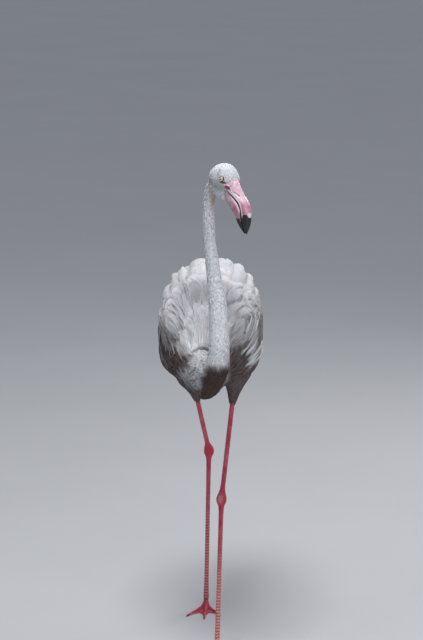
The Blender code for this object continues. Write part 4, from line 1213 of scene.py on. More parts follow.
# %% Feather helpers
PATCH_HALF = 0.0015  # half the width of a tuft's patch on the map for baking
CREASE = math.radians(50)


class Roots:
    """Places and sizes of a bunch of feathers, as arrays of one length."""

    def __init__(self, u, v, length, width, turn, lift, tip_lift):
        size = len(u)
        self.u, self.v = np.asarray(u), np.asarray(v)
        self.length, self.width, self.turn, self.lift, self.tip_lift = (
            np.broadcast_to(np.asarray(value, float), (size,)).copy()
            for value in (length, width, turn, lift, tip_lift)
        )

    def keep(self, which):
        """Only the feathers whose entry in which is true."""
        return Roots(self.u[which], self.v[which], self.length[which], self.width[which], self.turn[which],
                     self.lift[which], self.tip_lift[which])


def brick_rows(surface, start, end, first_angle, last_angle, row_gap, side_gap, rng, jitter=0.30):
    """Roots in rows a set distance apart along the surface, each row shifted by half a step like bricks."""
    fine = np.linspace(start, end, 400)
    middle = np.full(400, (first_angle + last_angle) / 2)
    steps = np.linalg.norm(np.diff(surface(fine, middle), axis=0), axis=1)
    gap_at = row_gap(fine) if callable(row_gap) else np.full(400, row_gap)
    count = np.concatenate(([0], np.cumsum(steps / ((gap_at[1:] + gap_at[:-1]) / 2))))
    rows = np.interp(np.arange(0.5, count[-1]), count, fine)
    all_u, all_v = [], []
    for index, u in enumerate(rows):
        ring = np.linspace(first_angle, last_angle, 90)
        edge = surface(np.full(90, u), ring)
        travelled = np.concatenate(([0], np.cumsum(np.linalg.norm(np.diff(edge, axis=0), axis=1))))
        gap = side_gap(np.array([u]))[0] if callable(side_gap) else side_gap
        number = max(int(round(travelled[-1] / gap)), 3)
        share = (np.arange(number) + 0.5 * (index % 2) + 0.25 + jitter * rng.uniform(-1, 1, number)) / number
        step = (rows[1] - rows[0]) if len(rows) > 1 else 0.0
        all_v.append(np.interp(np.clip(share, 0, 1) * travelled[-1], travelled, ring))
        all_u.append(u + jitter * step * rng.uniform(-1, 1, number))
    return np.concatenate(all_u), np.concatenate(all_v)


def surface_steps(by_u, by_v, direction):
    """A direction along a surface as steps of u and v: the share of each partial that makes it up."""
    uu, uv, vv = (by_u * by_u).sum(-1), (by_u * by_v).sum(-1), (by_v * by_v).sum(-1)
    on_u, on_v = (by_u * direction).sum(-1), (by_v * direction).sum(-1)
    spread = uu * vv - uv * uv
    return (on_u * vv - on_v * uv) / spread, (on_v * uu - on_u * uv) / spread


def closed_vanes(ground, normals, lift, thickness, t, c, side, reach, fold):
    """Vanes as closed leaves: a top that stands off the ground by lift, and an underside just below it."""
    top = ground + normals * lift[..., None]
    under = top - normals * (thickness * (1 - 0.5 * t) * (1 - c**2))[..., None]

    def both(above, below=None):
        """The top's numbers, then the underside's backwards and without the edges that they share."""
        above = np.broadcast_to(above, top.shape[:3] + above.shape[3:])
        below = above if below is None else below
        return np.concatenate((above, below[:, :, 1:-1][:, :, ::-1]), axis=2)

    vane_map = np.stack((both(side * 1000), both(reach * 1000)), -1)
    patch = np.stack((both(c), both(2 * t - 1)), -1)
    return both(top, under), vane_map, patch, both(t), both(fold)


def laid_vanes(surface, facing, roots, rng, rows, columns, tip_round, fringe, thickness, swell=0.35, curl=0.0,
               camber=0.0, tail_sign=-1.0, narrow=0.25):
    """Vanes printed on a surface: points, vane map, patch, share along, painted fold shade, and chance for
    each.
    """
    size = len(roots.u)
    by_u, by_v = partials(surface, roots.u, roots.v)
    normal = unit(np.cross(by_u, by_v)) * facing
    tailward = unit(by_u) * tail_sign
    sideward = np.cross(normal, tailward)
    aim = tailward * np.cos(roots.turn)[:, None] + sideward * np.sin(roots.turn)[:, None]
    aim_u, aim_v = surface_steps(by_u, by_v, aim)
    across_u, across_v = surface_steps(by_u, by_v, np.cross(normal, aim))

    t = np.linspace(0, 1, rows)[None, :, None]
    c = np.linspace(-1, 1, columns)[None, None, :]
    profile = (np.clip(t / swell, 0, 1) ** 0.6 * 0.8 + 0.2) * (1 - narrow * t**2.5)
    ragged = 1 + fringe * rng.uniform(-1, 1, (size, rows, columns)) * t**1.5 * (0.4 + np.abs(c))
    reach = roots.length[:, None, None] * t * (1 - tip_round * np.abs(c) ** 2.2) * (1 + 0.5 * (ragged - 1))
    bend = rng.uniform(-1, 1, (size, 1, 1)) * curl
    side = roots.width[:, None, None] * 0.5 * c * profile * ragged + bend * roots.length[:, None, None] * t**2
    u = roots.u[:, None, None] + aim_u[:, None, None] * reach + across_u[:, None, None] * side
    v = roots.v[:, None, None] + aim_v[:, None, None] * reach + across_v[:, None, None] * side
    ground = surface(u, v)
    normals = outward(surface, u, v, facing)
    lift = roots.lift[:, None, None] + (roots.tip_lift - roots.lift)[:, None, None] * t**0.85
    lift = lift - camber * roots.width[:, None, None] * c**2 * t
    # The painted shade of the body's folds, carried on each vane.
    fold = fold_shade(u, v) if surface is body_surface else np.zeros(u.shape)
    vanes = closed_vanes(ground, normals, lift, thickness, t, c, side, reach, fold)
    return (*vanes, rng.uniform(0, 1, size))


def vane_faces(rows, ring):
    """Three-sided faces of one vane, whose top and underside are cut along the same diagonals."""
    i, j = np.meshgrid(np.arange(rows - 1), np.arange(ring), indexing="ij")
    k = (j + 1) % ring
    a, b, c, d = i * ring + j, i * ring + k, (i + 1) * ring + k, (i + 1) * ring + j
    top = (j < ring // 2)[..., None]
    first = np.where(top, np.stack((a, c, b), -1), np.stack((a, d, b), -1))
    second = np.where(top, np.stack((a, d, c), -1), np.stack((b, d, c), -1))
    inner = np.arange(1, ring // 2 - 1)
    cap = [(0, 1, ring - 1), (ring // 2 - 1, ring // 2, ring // 2 + 1)]
    cap += [(n, n + 1, ring - n - 1) for n in inner] + [(n, ring - n - 1, ring - n) for n in inner]
    cap = np.array(cap)
    sides = np.concatenate((first.reshape(-1, 3), second.reshape(-1, 3)))
    return np.concatenate((sides, cap, cap[:, ::-1] + (rows - 1) * ring))


def coat_piece(name, bundles, finish, clean_tips=0.0):
    """Joins bundles of vanes into one mesh, with its maps, marks and the patch map for each vane."""
    points, faces, vane_maps, patches, shares, chances, folds = [], [], [], [], [], [], []
    start = 0
    for grid, vane_map, patch, share, fold, chance, home in bundles:
        size, rows, ring = grid.shape[:3]
        offsets = (start + np.arange(size) * rows * ring)[:, None, None]
        faces.append((vane_faces(rows, ring)[None] + offsets).reshape(-1, 3))
        points.append(grid.reshape(-1, 3))
        vane_maps.append(vane_map.reshape(-1, 2))
        patches.append((home[:, None, None, :] + patch * PATCH_HALF).reshape(-1, 2))
        shares.append(share.ravel())
        folds.append(fold.ravel())
        chances.append(np.repeat(chance, rows * ring))
        start += size * rows * ring
    points = np.concatenate(points)
    made = make_object(name, points, faces, finish)
    made.data.set_sharp_from_angle(angle=CREASE)
    set_uv(made, "OFBake", np.concatenate(patches))
    set_uv(made, "Vane", np.concatenate(vane_maps))
    shares = np.concatenate(shares)
    # Tips asked to stay unmarked are kept free of soil and of painted shade.
    stained = 1 - clean_tips * smooth_step(0.05, 0.55, shares)
    set_marks(
        made, along=shares, chance=np.concatenate(chances), fold=np.concatenate(folds) * stained,
        soil=soil_mark(points) * stained, sand=sand_mark(points),
    )
    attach(made, "root")
    print(f"{name}: {sum(len(b[0]) for b in bundles)} vanes, {sum(len(f) for f in faces)} triangles")
    return made


UNWRAP_EDGE, UNWRAP_SIZE = 0.01, 0.98


def unwrapped(u, v, u_low, u_high, v_low, v_high):
    """A root's place on the flat unwrap of its surface: both numbers scaled to 0.01 to 0.99."""
    across, up = (v - v_low) / (v_high - v_low), (u - u_low) / (u_high - u_low)
    return np.stack((UNWRAP_EDGE + UNWRAP_SIZE * across, UNWRAP_EDGE + UNWRAP_SIZE * up), -1)


def body_bundle(start, end, first, last, row_gap, side_gap, length, width, seed, rows=6, columns=5,
                lift=(-0.0035, 0.0008), turn=0.0, tip_round=0.30, fringe=0.10, thickness=0.0006, keep=None,
                curl=0.06, camber=0.0, narrow=0.25):
    """One bunch of feathers on the body's surface between two places and two angles in degrees."""
    rng = np.random.default_rng(seed)
    first, last = math.radians(first), math.radians(last)
    u, v = brick_rows(body_surface, start, end, first, last, row_gap, side_gap, rng)

    def read(value):
        return value(u, v) if callable(value) else value

    roots = Roots(u, v, read(length), read(width), read(turn), read(lift[0]), read(lift[1]))
    roots.length *= rng.uniform(0.85, 1.12, len(u))
    roots.turn += rng.normal(0, 0.07, len(u))
    roots.tip_lift += rng.normal(0, 0.0005, len(u))
    if keep is not None:
        roots = roots.keep(keep(roots))
    made = laid_vanes(body_surface, BODY_FACING, roots, rng, rows, columns, tip_round, fringe, thickness,
                      curl=curl, camber=camber, narrow=narrow)
    home = unwrapped(roots.u, roots.v % TURN, 0, NECK_TOP, 0, TURN)
    return (*made, home)


def split_pieces(names, bundle, border, finish):
    """Shares one bundle between two pieces, by whether a root lies before or past a place on the body."""
    past = bundle[-1][:, 1] > UNWRAP_EDGE + UNWRAP_SIZE * border / NECK_TOP
    for name, chosen in zip(names, (~past, past)):
        coat_piece(name, [tuple(part[chosen] for part in bundle)], finish)


# %% [markdown]
# ## The neck's down and the breast
# The neck carries short, dense, slightly parted tufts, which make its surface look like rough
# velvet. Towards the breast they grow into soft rounded feathers that lie over each other
# like tiles, each row covering the roots of the row behind it.


# %% Neck and breast
def between(places, values):
    """A function of place that reads values at places in straight lines."""
    return lambda u, v=None: np.interp(u, places, values)


neck_length = between((7.3, 8.8, 11, 14, 17, 20), (0.0240, 0.0140, 0.0105, 0.0090, 0.0075, 0.0062))
neck_bundle = body_bundle(
    7.3, NECK_TOP - 0.25, 0, 360, between((8.3, 12, 20), (0.0040, 0.0030, 0.0025)),
    between((8.3, 12, 20), (0.0036, 0.0028, 0.0023)), neck_length, lambda u, v: neck_length(u) * 0.34, 11,
    rows=4, columns=3, lift=(-0.0016, 0.0006), fringe=0.30, tip_round=0.30, thickness=0.0005, curl=0.05,
    narrow=0.70,
    keep=lambda r: 0.5 + 0.5 * mottle(body_surface(r.u, r.v), 0.004) > smooth_step(8.9, 7.4, r.u),
)
split_pieces(("neck_down_low", "neck_down_high"), neck_bundle, 12.0, DOWN)

breast_length = between((4.9, 6.5, 7.6, 8.4, 9.4), (0.052, 0.046, 0.034, 0.018, 0.012))
breast_width = between((4.9, 6.5, 7.6, 8.4, 9.4), (0.0135, 0.0120, 0.0105, 0.0075, 0.0055))
breast_bundle = body_bundle(
    5.6, 9.2, 0, 360, between((5.6, 7.6, 9.2), (0.0085, 0.0070, 0.0044)),
    between((5.6, 7.6, 9.2), (0.0066, 0.0058, 0.0045)), breast_length, breast_width, 12, rows=7, columns=5,
    lift=(lambda u, v: -body_depth(u) + 0.0004, 0.0007), fringe=0.20, tip_round=0.30, narrow=0.55,
)
split_pieces(("breast_feathers_rear", "breast_feathers_front"), breast_bundle, 7.4, COAT)

# %% [markdown]
# ## Belly, flanks and thighs
# Under the wings the feathers are long, soft and a little loose. We keep only the roots
# below the wings' lower edge, because what grows higher would never be seen.


# %% Belly and thighs
belly_bundle = body_bundle(1.2, 6.2, 168, 372, 0.0125, 0.0125, between((1, 3, 6), (0.036, 0.040, 0.034)),
                           between((1, 3, 6), (0.020, 0.022, 0.019)), 13, rows=7, columns=7,
                           lift=(-0.0036, 0.0012), fringe=0.16, tip_round=0.40)
coat_piece("belly_feathers", [belly_bundle], COAT)


def thigh_bundle(side, seed):
    """Short loose feathers down a thigh, pointing to the ankle."""
    rng = np.random.default_rng(seed)
    surface = THIGHS[side]
    u, v = brick_rows(surface, 0.35, 3.85, 0, TURN, 0.0062, 0.0066, rng)
    length = np.interp(u, (0, 2, 3.4, 3.9), (0.026, 0.020, 0.011, 0.008))
    lift = np.interp(u, (0, 3.0, 3.9), (0.0012, 0.0008, -0.0006))
    roots = Roots(u, v, length, length * 0.45, rng.normal(0, 0.12, len(u)), -0.0018, lift)
    laid = laid_vanes(surface, THIGH_FACING[side], roots, rng, 5, 5, 0.35, 0.25, 0.0005, curl=0.04,
                      tail_sign=1.0)
    return (*laid, unwrapped(u, v, 0, 4, 0, TURN))


for side, seed in (("left", 21), ("right", 22)):
    coat_piece("thigh_feathers_" + side, [thigh_bundle(side, seed)], COAT)

# %% [markdown]
# ## Wing coverts, back and long inner feathers
# The folded wing starts with small rounded coverts at its bend, which grow longer towards the
# back, and the shoulder feathers fall over them from above as broad drooping blades. They
# make the scalloped top outline. The long inner feathers close the back over the rump.


# %% Wings and back
def wing_bundles(sign, seed):
    """Three bunches on one wing: coverts low on the side, shoulder blades above, long ones behind."""
    near, places = (2.6, 5, 7.0), (1.9, 4.5, 5.8, 6.9)
    low, high = (-26, 62) if sign > 0 else (118, 206)
    top_low, top_high = (38, 92) if sign > 0 else (88, 142)
    back_low, back_high = (2, 92) if sign > 0 else (88, 178)
    droop = sign * 0.30
    coverts = body_bundle(2.6, 7.0, low, high, between(near, (0.0170, 0.0120, 0.0075)),
                          between(near, (0.0160, 0.0125, 0.0085)), between(near, (0.062, 0.042, 0.022)),
                          between(near, (0.024, 0.019, 0.012)), seed, rows=8, columns=7,
                          lift=(-0.0036, 0.0009), turn=-droop * 0.5, fringe=0.07, tip_round=0.30)
    blades = body_bundle(1.9, 6.9, top_low, top_high, between((1.9, 4.5, 6.9), (0.0230, 0.0170, 0.0100)),
                         between((1.9, 4.5, 6.9), (0.0200, 0.0170, 0.0110)),
                         between(places, (0.095, 0.070, 0.042, 0.028)),
                         between(places, (0.028, 0.027, 0.022, 0.017)), seed + 1, rows=9, columns=7,
                         lift=(-0.0030, 0.0030), turn=-droop, fringe=0.06, tip_round=0.30, camber=0.04)
    back = body_bundle(0.9, 2.6, back_low, back_high, 0.0200, 0.0160, between((0.9, 2.6), (0.055, 0.085)),
                       between((0.9, 2.6), (0.022, 0.026)), seed + 2, rows=9, columns=7,
                       lift=(-0.0030, 0.0016),
                       turn=0.0, fringe=0.05, tip_round=0.32, camber=0.04)
    return [coverts, blades, back]


coat_piece("wing_feathers_left", wing_bundles(1, 31), COAT)
coat_piece("wing_feathers_right", wing_bundles(-1, 41), COAT)


# %% [markdown]
# ## Feathers laid one by one
# Rows alone look like roof tiles. On a live bird some feathers stand out: broad ones whose tips
# make the scalloped top line, shoulder bunches that fold over each other, thin pale ones beside
# the wing's bend, and a curled bunch low on the right flank. Each of them is drawn as a path over
# the body, from root to tip, in the surface's own place and angle, and is laid with a few
# companions close beside it, so that a bunch looks soft.


# %% Paths of the feathers laid one by one
# width and height of the tip in millimetres, then place and angle in degrees from root to tip
SHOULDER_RIGHT = (
    (16, 3, ((5.85, 94), (5.6, 95), (4, 104))), (16, 3, ((5.85, 101), (5.6, 100), (4, 109))),
    (15, 3, ((5.8, 107), (5.55, 105), (4, 114))), (13, 3, ((5.8, 111), (5.55, 109), (4.3, 116))),
    (9, 5, ((5.8, 113), (5.5, 111), (4.5, 116))), (14, 9, ((5.9, 118), (5.65, 114), (4.65, 120))),
    (17, 8, ((5.95, 121), (5.55, 122), (4.35, 133))), (15, 5, ((5.95, 122), (5.55, 128), (4.85, 138))),
    (14, 4, ((5.95, 124), (5.6, 131), (5.1, 141))), (12, 4, ((6.05, 126), (5.9, 131), (5.3, 143))),
    (10, 5, ((6.4, 124), (6.25, 126), (6.1, 129))), (10, 5, ((6.3, 117), (6.1, 121), (5.95, 123))),
    (12, 4, ((6.3, 110), (6, 115), (5.85, 119))), (12, 3, ((6.45, 103), (6.05, 109), (5.8, 113))),
    (8, 3, ((6.15, 140), (5.9, 161), (5.3, 186))), (8, 3, ((6.4, 144), (6.15, 164), (5.95, 181))),
    (8, 3, ((6.45, 146), (6.3, 160), (6.2, 172))), (7, 3, ((6.55, 140), (6.5, 148), (6.4, 158))),
    (8, 3, ((6.85, 177), (6.05, 184), (5.6, 182))),
)
SHOULDER_LEFT = (
    (14, 4, ((5.7, 71), (5.1, 77), (3.9, 80))), (16, 4, ((5.65, 66), (4.95, 70), (3.95, 74))),
    (12, 5, ((5.6, 64), (5, 66), (4.2, 68))), (18, 9, ((5.7, 62), (5.05, 61), (4.25, 60))),
    (14, 6, ((5.65, 60), (5, 56), (4.2, 56))), (16, 9, ((5.6, 58), (4.9, 52), (4.3, 50))),
    (14, 5, ((5.65, 56), (5.05, 50), (4.55, 46))), (16, 5, ((5.75, 55), (5.1, 47), (4.55, 38))),
    (12, 5, ((5.65, 51), (5.1, 41), (4.8, 32), (4.6, 24))),
    (12, 5, ((5.85, 52), (5.35, 43), (5.1, 34), (5, 26))),
    (11, 5, ((6, 52), (5.65, 45), (5.45, 37), (5.3, 28))),
    (11, 5, ((6.1, 52), (6.05, 48), (5.85, 40), (5.65, 32))), (22, 8, ((6.1, 65), (6, 60), (5.85, 55))),
    (16, 6, ((5.95, 68), (5.75, 62), (5.45, 54))), (20, 6, ((6.3, 60), (6.2, 56), (6.1, 49))),
    (18, 7, ((6.4, 50), (6.2, 46), (6, 39))),
)
THIN_PALE = (
    (8, 9, ((6.3, 25), (6.3, 32), (6.1, 38))), (8, 10, ((6.05, 18), (5.95, 26), (5.75, 34))),
    (8, 10, ((5.75, 16), (5.65, 22), (5.45, 29))), (6, 8, ((6.2, 14), (6.1, 20), (6, 26))),
    (8, 8, ((6.4, 0), (5.95, 4), (5.7, 13))), (9, 9, ((6.35, -7), (5.7, -4), (5.05, 0))),
    (9, 8, ((5.95, -20), (5.4, -14), (4.85, -8))), (7, 7, ((6.65, 7), (6.2, 10), (6, 17))),
    (8, 8, ((6.45, -14), (5.9, -10), (5.25, -5))),
)
FLANK_RIGHT = (
    (7, 4, ((5.95, 146), (6, 162), (5.7, 181))), (7, 4, ((6.25, 143), (6.25, 159), (6.25, 177))),
    (7, 4, ((6.45, 140), (6.45, 158), (6.95, 165))), (7, 4, ((6.05, 158), (5.65, 180), (5.9, 195))),
    (6, 3, ((6.4, 147), (6.3, 163), (6.65, 176))), (6, 3, ((6.5, 147), (6.9, 156), (7.6, 152))),
    (6, 3, ((6.05, 170), (5.9, 187), (6.4, 200))),
)


HAND_LAID_THICKNESS = 0.0008


def hand_laid(paths, companions, spread, seed, rows=13, columns=9, camber=0.10, root_lift=-0.0030,
              fringe=0.06, narrow=0.30):
    """Vanes along paths: a vane's rows stand square to its path, and companions lie close beside it."""
    rng = np.random.default_rng(seed)
    share = np.linspace(0, 1, rows)
    lines, widths, lifts, shifts = [], [], [], []
    for width, lift, corners in paths:
        line = along([(u, math.radians(v)) for u, v in corners], share * (len(corners) - 1))
        for companion in range(companions):
            first = companion == 0
            lines.append(line[0] + (line - line[0]) * (1.0 if first else rng.uniform(0.72, 1.04)))
            widths.append(width / 1000 * (1.0 if first else rng.uniform(0.7, 0.95)))
            lifts.append(lift / 1000 - (0.0 if first else rng.uniform(0.0004, 0.0016)))
            shifts.append(0.0 if first else rng.normal(0, spread))
    lines = np.array(lines)
    widths, lifts, shifts = (np.array(values)[:, None, None] for values in (widths, lifts, shifts))
    u, v = lines[..., 0], lines[..., 1]
    by_u, by_v = partials(body_surface, u, v)
    normal = unit(np.cross(by_u, by_v)) * BODY_FACING
    ahead = unit(np.gradient(body_surface(u, v), axis=1))
    step_u, step_v = surface_steps(by_u, by_v, unit(np.cross(normal, ahead)))

    c, t = np.linspace(-1, 1, columns)[None, None, :], share[None, :, None]
    profile = (np.clip(t / 0.3, 0, 1) ** 0.6 * 0.75 + 0.25) * (1 - narrow * t**3)
    profile = profile * np.sqrt(np.clip(1.04 - t**9, 0, 1))
    ragged = 1 + fringe * rng.uniform(-1, 1, (len(lines), rows, columns)) * t**1.5
    side = widths * (0.5 * c * profile * ragged + shifts * (0.4 + 0.6 * t))
    along_line = np.clip((t - 0.10 * c**2 * t) * (rows - 1), 0, rows - 1)
    row = np.minimum(along_line.astype(int), rows - 2)
    mixed = along_line - row
    pick = np.arange(len(lines))[:, None, None]

    def carried(values):
        """Numbers along each line, read between its rows."""
        return values[pick, row] * (1 - mixed) + values[pick, row + 1] * mixed

    span = np.linalg.norm(np.diff(body_surface(u, v), axis=1), axis=-1).sum(1)[:, None, None]
    home = unwrapped(u[:, 0], v[:, 0] % TURN, 0, NECK_TOP, 0, TURN)
    u, v = carried(u) + carried(step_u) * side, carried(v) + carried(step_v) * side
    ground, normals = body_surface(u, v), outward(body_surface, u, v, BODY_FACING)
    lift = root_lift + (lifts - root_lift) * t**0.6 - camber * widths * c**2 * t
    vanes = closed_vanes(ground, normals, lift, HAND_LAID_THICKNESS, t, c, side, t * span, fold_shade(u, v))
    return (*vanes, rng.uniform(0.2, 0.8, len(lines)), home)


coat_piece("shoulder_bunches_right", [hand_laid(SHOULDER_RIGHT, 4, 0.30, 81)], COAT)
coat_piece("shoulder_bunches_left", [hand_laid(SHOULDER_LEFT, 4, 0.30, 82)], COAT)
pale_bundle = hand_laid(THIN_PALE, 3, 0.35, 83, camber=0.16, narrow=0.55)
coat_piece("loose_pale_feathers", [pale_bundle], PALE_DOWN, clean_tips=0.9)
flank_bundle = hand_laid(FLANK_RIGHT, 5, 0.9, 84, fringe=0.16, narrow=0.6)
coat_piece("flank_feathers", [flank_bundle], COAT, clean_tips=0.60)


# %% Tail and black flight feathers
def fan_surface(stations, bow):
    """A nearly flat strip, by place along and share across: the table's middle line, width and a bow."""
    def surface(place, share):
        rows = along(stations, place)
        x, y, z, wide = (rows[..., i] for i in range(4))
        return np.stack((x + share * wide, y, z - bow * share**2 * wide), -1) + MOVED
    return surface


# x, y, z of the middle line and half width, from front to tip
TAIL = ((0.017, 0.170, 0.676, 0.034), (0.021, 0.210, 0.672, 0.043), (0.025, 0.250, 0.664, 0.043),
        (0.029, 0.285, 0.656, 0.036), (0.0305, 0.297, 0.652, 0.030))


def fan_piece(name, stations, bow, count, length_share, width, finish, nodes, seed, sides=1.0):
    """Long vanes side by side on a strip, each running from its front to a staggered tip."""
    rng = np.random.default_rng(seed)
    surface = fan_surface(stations, bow)
    facing = facing_flat(surface)
    share = np.linspace(-sides, sides, count)
    ends = surface(np.array([0.0, 4.0]), np.zeros(2))
    span = np.linalg.norm(ends[1:] - ends[:1])
    length = span * length_share * (1 - 0.12 * np.abs(share) ** 1.5) * rng.uniform(0.96, 1.0, count)
    layer = np.abs(share) * -0.0030
    roots = Roots(np.zeros(count) + 0.02, share * 0.8, length, width, share * 0.0, layer, layer + 0.0008)
    laid = laid_vanes(surface, facing, roots, rng, 16, 9, 0.16, 0.03, 0.0008, tail_sign=1.0, curl=0.01,
                      camber=0.05)
    made = coat_piece(name, [(*laid, unwrapped(roots.u, roots.v, 0, 4, -1.2, 1.2))], finish)
    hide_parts(*nodes)
    return made


def facing_flat(surface):
    """1 or -1, so that a strip's normals point up."""
    up = outward(surface, np.array([2.0]), np.array([0.0]), 1)[0, 2]
    return 1 if up > 0 else -1


# y, distance sideways from the middle, and z of the black feathers' middle line
FLIGHT_LINE = ((0.165, 0.060, 0.690), (0.215, 0.046, 0.682), (0.262, 0.033, 0.671), (0.296, 0.026, 0.662),
               (0.311, 0.024, 0.658))

fan_piece("tail_feathers", TAIL, 0.25, 13, 0.98, 0.024, COAT, ("tail",), 51)
for side, sign in (("left", 1), ("right", -1)):
    rows = [(BODY_TURN * y + sign * out, y, z, 0.010) for y, out, z in FLIGHT_LINE]
    fan_piece("flight_feathers_" + side, rows, 0.15, 5, 0.99, 0.013, BLACK_VANE,
              ("primaries_" + side,), 60 + sign, 0.8)


# %% [markdown]
# ## The head's feathers
# They are the smallest on the bird, a few millimetres long, and lie flat and backwards from the
# bill. They stop at the edge of the bare skin and at the rim of the eye.


# %% Head feathers
def head_bundle(surface, facing, start, end, gap, length, seed):
    """Tiny vanes pointing back over a part of the head, left out on bare skin and over the eye."""
    rng = np.random.default_rng(seed)
    u, v = brick_rows(surface, start, end, 0.0, TURN, gap, gap * 1.05, rng)
    own = to_head(surface(u, v))
    behind = own - (0.7 * length, 0, 0)
    clear = (bare_share(own) < 0.4) & (dusk_mark(own) < 0.45) & (dusk_mark(behind) < 0.45)
    u, v = u[clear], v[clear]
    long = length * rng.uniform(0.8, 1.15, len(u))
    roots = Roots(u, v, long, length * 0.50, rng.normal(0, 0.16, len(u)), -0.0008, 0.0004)
    laid = laid_vanes(surface, facing, roots, rng, 4, 3, 0.45, 0.25, 0.0004, curl=0.10)
    return (*laid, unwrapped(u, v, 0, 8, 0, TURN))


coat_piece("head_feathers", [
    head_bundle(head_surface, HEAD_FACING, 0.3, 7.2, 0.0019, 0.0042, 71),
    head_bundle(throat_surface, THROAT_FACING, 0.4, 3.9, 0.0022, 0.0042, 72),
], PALE_DOWN)

# %% [markdown]
# ## Legs and feet
# A flamingo's leg is bare from above the ankle. Cross plates run down its front, and smaller
# scales cover the swollen ankle and the toes, with a thin web between them. Shank, ankle, tarsus,
# toes and web are melted into one skin for each leg, then the plates are raised on it.


# %% Leg skin
def leg_line(side):
    """Rings of a leg from the feathers' end down to the foot joint: points and half sizes."""
    knee, ankle, foot = (np.array(table[side]) for table in (KNEE, ANKLE, FOOT_JOINT))
    down, ahead = unit(ankle - knee), unit(foot - ankle)
    top = knee + (ankle - knee) * (THIGH_END[side] - 0.03)
    ankle_rows = along(ANKLE_SIZES, np.linspace(0, 5, 26))
    along_leg = np.where(ankle_rows[:, :1] < 0, down, ahead)
    ankle_points = ankle + along_leg * ankle_rows[:, :1] * ANKLE_HALF_LENGTH
    shank = np.linspace(0, 1, 24)[:-1, None]
    shank_points = top + (ankle_points[0] - top) * shank
    shank_sizes = np.column_stack((np.full(23, SHANK_RADIUS), np.full(23, SHANK_RADIUS * 1.05)))
    tarsus_rows = along(TARSUS_RADII, np.linspace(0, 5, 60))[1:]
    tarsus_points = ankle_points[-1] + (foot - ankle_points[-1]) * tarsus_rows[:, :1]
    points = np.vstack((shank_points, ankle_points, tarsus_points)) + MOVED
    sizes = np.vstack((shank_sizes, ankle_rows[:, 1:], tarsus_rows[:, 1:]))
    return points, sizes


def ring_tube(name, points, wide, tall, around=24, hint=(1.0, 0.0, 0.0)):
    """A tube along a path: ovals with half sizes wide and tall, square to the path."""
    _, side, up = path_frames(points, np.array(hint))
    turn = round_angles(around)
    grid = (points[:, None] + side[:, None] * (np.cos(turn)[None] * wide[:, None])[..., None]
            + up[:, None] * (np.sin(turn)[None] * tall[:, None])[..., None])
    grid[..., 2] = np.maximum(grid[..., 2], 0.0)
    return tube(name, grid)


def toe_path(side, spread, length, count=24):
    """Middle line of a front toe: down from the joint, then along the floor."""
    joint = np.array(FOOT_JOINT[side])
    angle = (1 if side == "left" else -1) * math.radians(spread) + FOOT_TURN[side]
    ahead = np.array((math.sin(angle), -math.cos(angle), 0.0))
    share = np.linspace(0, 1, count)
    floor = TOE_RADIUS * (0.92 - 0.42 * share)
    drop = np.clip(1 - share / (0.22 + joint[2] * 6), 0, 1) ** 1.6
    path = joint + ahead * (share * length)[:, None]
    path[:, 2] = floor + (joint[2] - floor[0]) * drop
    return path + MOVED * (1, 1, 0)


def toe_radius(share):
    """Toe thickness: tapering to the claw, swollen at four pads."""
    return TOE_RADIUS * (1.05 - 0.52 * share) * (1 + 0.10 * np.cos(share * 6 * math.pi))


def web_tube(side):
    """The web as a thin closed slab: rows across from toe to toe, with a hollow front edge."""
    wide, deep = 41, 26
    across = np.linspace(0, 2, wide)
    paths = np.stack([toe_path(side, spread, MIDDLE_TOE * share, 9) for _, spread, share in TOES])
    toe = np.minimum(across.astype(int), 1)
    mixed = across - toe
    reach = np.linspace(0.06, 1, deep)[None, :] * (0.88 * (1 - 0.30 * np.sin(math.pi * mixed)))[:, None] * 8
    first = np.stack([along(paths[k], reach[i]) for i, k in enumerate(toe)])
    second = np.stack([along(paths[k + 1], reach[i]) for i, k in enumerate(toe)])
    top = first * (1 - mixed)[:, None, None] + second * mixed[:, None, None]
    ripple = 0.0003 * np.sin(across * 26)[:, None] * np.linspace(0, 1, deep)[None, :]
    top[..., 2] = np.maximum(top[..., 2] * 0.62, WEB_THICKNESS + 0.0006) + ripple
    low = top - np.array((0.0, 0.0, WEB_THICKNESS))
    return tube("web_tube", np.concatenate((top, low[:, ::-1]), axis=1))


PLATE, TOE_PLATE = 0.0070, 0.0030  # distance from one cross plate to the next
LEG_VOXEL = 0.0009


